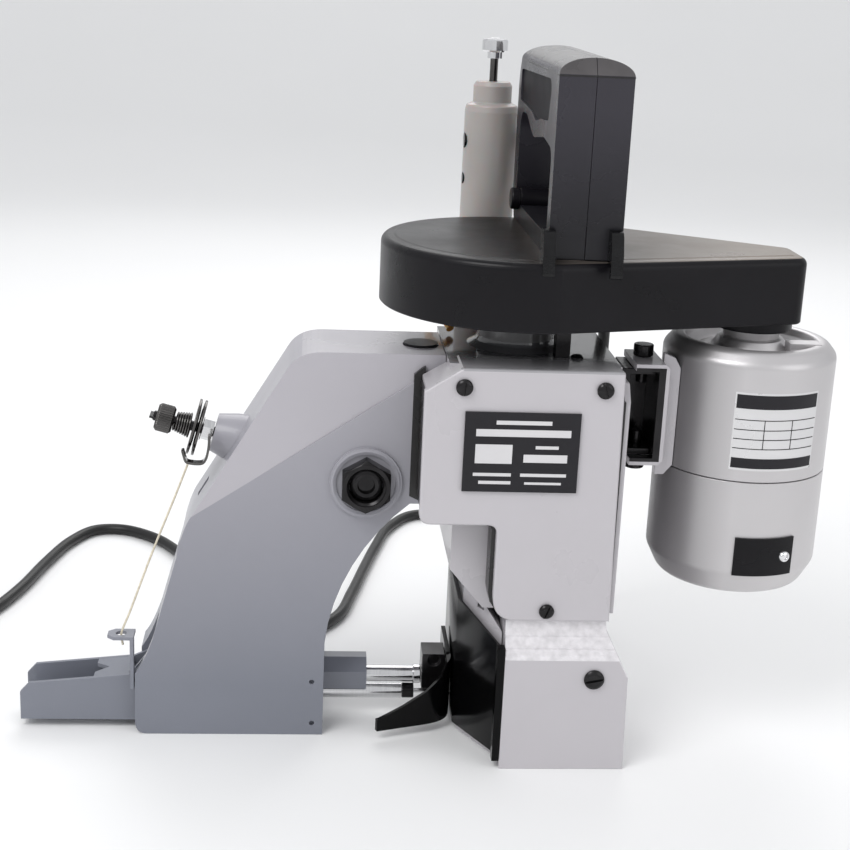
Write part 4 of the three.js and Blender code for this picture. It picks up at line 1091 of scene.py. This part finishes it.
# ---------------------------------------------------------------- oil pump
def make_pump():
    """The oil pump's barrel with its side screws, and the plunger with its knob."""
    low, high = span("pump_body")
    centre = middle("pump_body")
    at, r, neck = (centre.x, centre.y), (high.x - low.x) / 2, 9.2
    body = lathe([
        (0, low.z + 5), (r - 2.2, low.z + 5), (r - 2.2, high.z - 15), (2.4, high.z - 12), (2.4, high.z),
        (neck - 1.2, high.z, 0.8), (neck, high.z - 2, 0.6), (neck, high.z - 9.8, 0.8),
        (r - 0.6, high.z - 11, 1.2), (r, high.z - 14, 1.0), (r, low.z + 1, 0.6), (r - 0.8, low.z),
        (0, low.z),
    ], at, "z", 128)
    put("pump_body_turned", body, WHITE_PLASTIC_PAINTED_SHADE, "frame", ("pump_body",))
    for i, z in enumerate((high.z - 28, high.z - 46)):
        boss = lathe([
            (0, low.x - 0.1), (3.6 - 0.9 * i, low.x - 0.1, 0.2), (3.7 - 0.9 * i, low.x + 2.5),
            (0, low.x + 2.5),
        ], (centre.y - 2, z), "x", 40)
        put(f"pump_side_screw_{i}", boss, BLACK_STEEL, "frame")
    p_low, p_high = span("pump_plunger")
    knob = lathe([
        (0, p_low.z), (10, p_low.z), (10, p_low.z + 6), (1.9, p_low.z + 6), (1.9, p_high.z - 9.6),
        (3.4, p_high.z - 9.4, 0.3), (3.4, p_high.z - 6.4, 0.3), (5.4, p_high.z - 6.3),
        (6.1, p_high.z - 5.6), (6.1, p_high.z - 1.2), (5.3, p_high.z - 0.3, 0.3), (2, p_high.z, 0.4),
        (1.7, p_high.z - 0.9), (0, p_high.z - 0.9),
    ], at, "z", 144)
    put("pump_plunger_turned", knob, CHROME, "pump_plunger", ("pump_plunger",), 38, DARK_POLISH,
        lambda face: face.calc_center_median().z < p_high.z - 9.5)
    put("pump_stem_nut", hex_prism(at, 6.6, "z", p_high.z - 9.3, p_high.z - 6.5), CHROME, "pump_plunger")


make_pump()


# ---------------------------------------------------------------- thread tension
TILT = math.radians(15)
TENSION_AT = Vector((-141.2, -2, 139.3))
TENSION_WAY = Vector((-math.cos(TILT), 0, math.sin(TILT)))


def on_tension(shape):
    """Lays a shape that was made on the Z axis along the tension unit's tilted post."""
    turn = TENSION_WAY.to_track_quat("Z", "Y").to_matrix().to_4x4()
    bmesh.ops.transform(shape, verts=shape.verts, matrix=Matrix.Translation(TENSION_AT) @ turn)
    return shape


def make_tension():
    """The tension unit: post, nut, two discs, cone spring, knurled knob and the thread's hook."""
    post = merged(
        lathe([(0, -23.6), (2.3, -23.6), (2.3, 20), (1.9, 20.5), (0, 20.5)], (0, 0), "z", 48),
        lathe([(2.2, -2.0), (5.4, -2.0, 0.3), (5.4, -1.75), (2.2, -1.75)], (0, 0), "z", 64),
    )
    slot = block((-4, -0.45, 18.6), (4, 0.45, 22))
    put("tension_post_turned", on_tension(combine(post, slot)), BLACK_STEEL, "frame", ("tension_post",))
    nut = hex_prism((0, 0), 8.3, "z", -6.9, -2.2)
    round_edges(nut, 0.35, 3, 30)
    put("tension_post_nut", on_tension(nut), BRIGHT_STEEL, "frame")
    discs = []
    for way, base in ((1, -0.9), (-1, 2.0)):
        discs.append(
            lathe([
                (2.9, base), (8.6, base + 0.1 * way, 1.0), (11.6, base - 0.3 * way, 0.6),
                (12.8, base - 0.4 * way, 0.3), (12.8, base + 0.8 * way, 0.4),
                (11.4, base + 1.0 * way, 0.8), (8.2, base + 1.3 * way, 1.2), (2.9, base + 1.3 * way),
            ], (0, 0), "z", 96)
        )
    put("tension_discs_pressed", on_tension(merged(*discs)), DARK_POLISH, "frame", ("tension_discs",))
    count, turns = 180, 6.5
    side = Vector((0, 1, 0))
    up = TENSION_WAY.cross(side)
    coil = []
    for i in range(count + 1):
        part = i / count
        a, r = part * turns * 2 * math.pi, 5.4 - 1.5 * part
        coil.append(
            TENSION_AT + TENSION_WAY * (3.3 + part * 7.4) + side * (r * math.cos(a)) + up * (r * math.sin(a))
        )
    wire("tension_spring_wire", coil, 0.5, DARK_POLISH, "frame", ("tension_spring",))
    teeth = 36
    knob = lathe([
        (2.8, 11.2), (5.0, 11.2, 0.4), (5.7, 11.9), (6.1, 12.3), (6.1, 17.9), (5.7, 18.4),
        (5.0, 19.1, 0.3), (2.8, 19.1),
    ], (0, 0), "z", teeth * 6, lambda turn: 0.24 * math.cos(teeth * turn))
    put("tension_knob_knurled", on_tension(knob), DARK_POLISH, "tension_knob", ("tension_knob",), 60)
    low, high = span("thread_hook")
    path = [
        (-134.6, 140.5), (-134.9, 135), (-136.2, 129.4), (-138, 127.3), (-143.4, 127.2), (-145.6, 128),
        (-146.9, 131.4), (-147.4, 133.4),
    ]
    line = smooth_line([(*p, 0) for p in path], 6)
    outer = []
    for i, p in enumerate(line):
        ahead = line[min(i + 1, len(line) - 1)] - line[max(i - 1, 0)]
        outer.append(p + Vector((ahead.y, -ahead.x, 0)).normalized() * 1.1)
    strip = prism([(p.x, p.y) for p in [*line, *reversed(outer)]], "y", low.y - 1.2, high.y + 1.2)
    round_edges(strip, 0.3, 2, 40)
    put("thread_hook_strip", strip, DARK_POLISH, "frame", ("thread_hook",))


make_tension()


# ---------------------------------------------------------------- thread, springs and tubes
def make_threads():
    """The sewing thread, the presser's spring and the oil tube."""
    thread = smooth_line([
        (-144.4, -14.6, 127.2), (-150, -15.2, 112), (-160, -17.8, 86), (-170, -20.6, 58),
        (-174, -21.7, 47), (-173.6, -19.6, 41),
    ], 10)
    wire("sewing_thread_line", thread, 0.5, COTTON, "frame", ("sewing_thread",))
    low, high = span("presser_spring")
    centre, turns = middle("presser_spring"), 11
    coil = [
        (low.x + 0.5 + (high.x - low.x - 1) * i / (turns * 20), centre.y + 4.6 * math.cos(i * math.pi / 10),
         centre.z + 4.6 * math.sin(i * math.pi / 10)) for i in range(turns * 20 + 1)
    ]
    wire("presser_spring_wire", coil, 0.42, BRIGHT_STEEL, body_of("presser_spring"), ("presser_spring",))
    tube = smooth_line([
        (-21.4, 75, 186), (-27, 73, 186.4), (-33, 60, 187), (-36, 42, 188), (-34, 26, 187.6),
        (-30, 17, 186.6), (-28.4, 13.4, 184.2),
    ], 10)
    wire("oil_tube_line", tube, 1.9, AMBER, "frame", ("oil_tube",))


make_threads()


# ---------------------------------------------------------------- CAD shapes with rounded edges
PLAIN = {
    "throat_plate": (BLACK_ENAMEL, 0.7), "oil_hole_plug": (COVER_BLACK, 0.3),
    "needle_lever": (BRIGHT_STEEL, 0.4), "connecting_rod": (ALUMINIUM, 0.4),
    "drive_eccentric": (BRIGHT_STEEL, 0.4), "needle_bar": (BRIGHT_STEEL, 0.3),
    "needle_clamp_nut": (BLACK_STEEL, 0.4), "needle": (BRIGHT_STEEL, 0.05),
    "presser_bar": (BRIGHT_STEEL, 0.3), "foot_clamp": (BLACK_STEEL, 1.6),
    "presser_foot": (BLACK_ENAMEL, 0.6), "lift_lever": (COOL_ENAMEL_PAINTED_SHADE, 0.5),
    "lifter_pin": (BRIGHT_STEEL, 0.3), "thread_guide": (COOL_ENAMEL_PAINTED_SHADE, 0.45),
    "main_shaft": (BRIGHT_STEEL, 0.4), "main_pulley": (ALUMINIUM, 0.4), "timing_belt": (RUBBER, 0.2),
    "motor_pulley": (BRIGHT_STEEL, 0.3), "motor_shaft": (BRIGHT_STEEL, 0.3),
    "motor_bracket": (ENAMEL, 0.5), "frame_bracket": (BLACK_STEEL, 0.5),
    "bracket_bolt_upper": (BLACK_STEEL, 0.5), "bracket_bolt_lower": (BLACK_STEEL, 0.5),
    "looper_shaft": (BRIGHT_STEEL, 0.3), "looper": (BRIGHT_STEEL, 0.2), "feed_dog": (BRIGHT_STEEL, 0.2),
}
for node, (material, width) in PLAIN.items():
    finished(node, material, width)


# ---------------------------------------------------------------- stage
def make_stage():
    """A pale sweep that curves up behind the machine, an even white surround and three soft lights."""
    bend = [
        (1.6 + 1.2 * math.sin(a), 1.2 - 1.2 * math.cos(a))
        for a in (math.pi / 2 * k / 24 for k in range(25))
    ]
    sweep = rings([
        [(x, y, z) for y, z in ((-6, 0), *bend, (2.8, 6))] for x in (-7, 7)
    ], closed=False, caps=False)
    mesh = bpy.data.meshes.new("backdrop")
    sweep.to_mesh(mesh)
    sweep.free()
    mesh.polygons.foreach_set("use_smooth", [True] * len(mesh.polygons))
    mesh.materials.append(
        surface("pale_floor", (0.86, 0.86, 0.86), 0.7, mottle=0.01, mottle_scale=2, depth=0.0)
    )
    ground = bpy.data.objects.new("backdrop", mesh)
    bpy.context.scene.collection.objects.link(ground)
    world = bpy.data.worlds.new("studio")
    world.use_nodes = True
    world.node_tree.nodes["Background"].inputs["Color"].default_value = (0.97, 0.98, 1, 1)
    world.node_tree.nodes["Background"].inputs["Strength"].default_value = 0.8
    bpy.context.scene.world = world
    for name, place, size, power in (
        ("key", (-0.7, -0.7, 1.2), 0.7, 9), ("fill", (1.1, -0.9, 0.7), 1.0, 2.5),
        ("back", (0.1, 1.0, 1.1), 1.0, 7),
    ):
        lamp = bpy.data.lights.new(name, "AREA")
        lamp.size = size
        lamp.energy = power
        light = bpy.data.objects.new(name, lamp)
        light.location = place
        light.rotation_euler = (Vector((0, 0, 0.15)) - Vector(place)).to_track_quat("-Z", "Y").to_euler()
        bpy.context.scene.collection.objects.link(light)
    bpy.context.scene.view_settings.view_transform = "Standard"


make_stage()
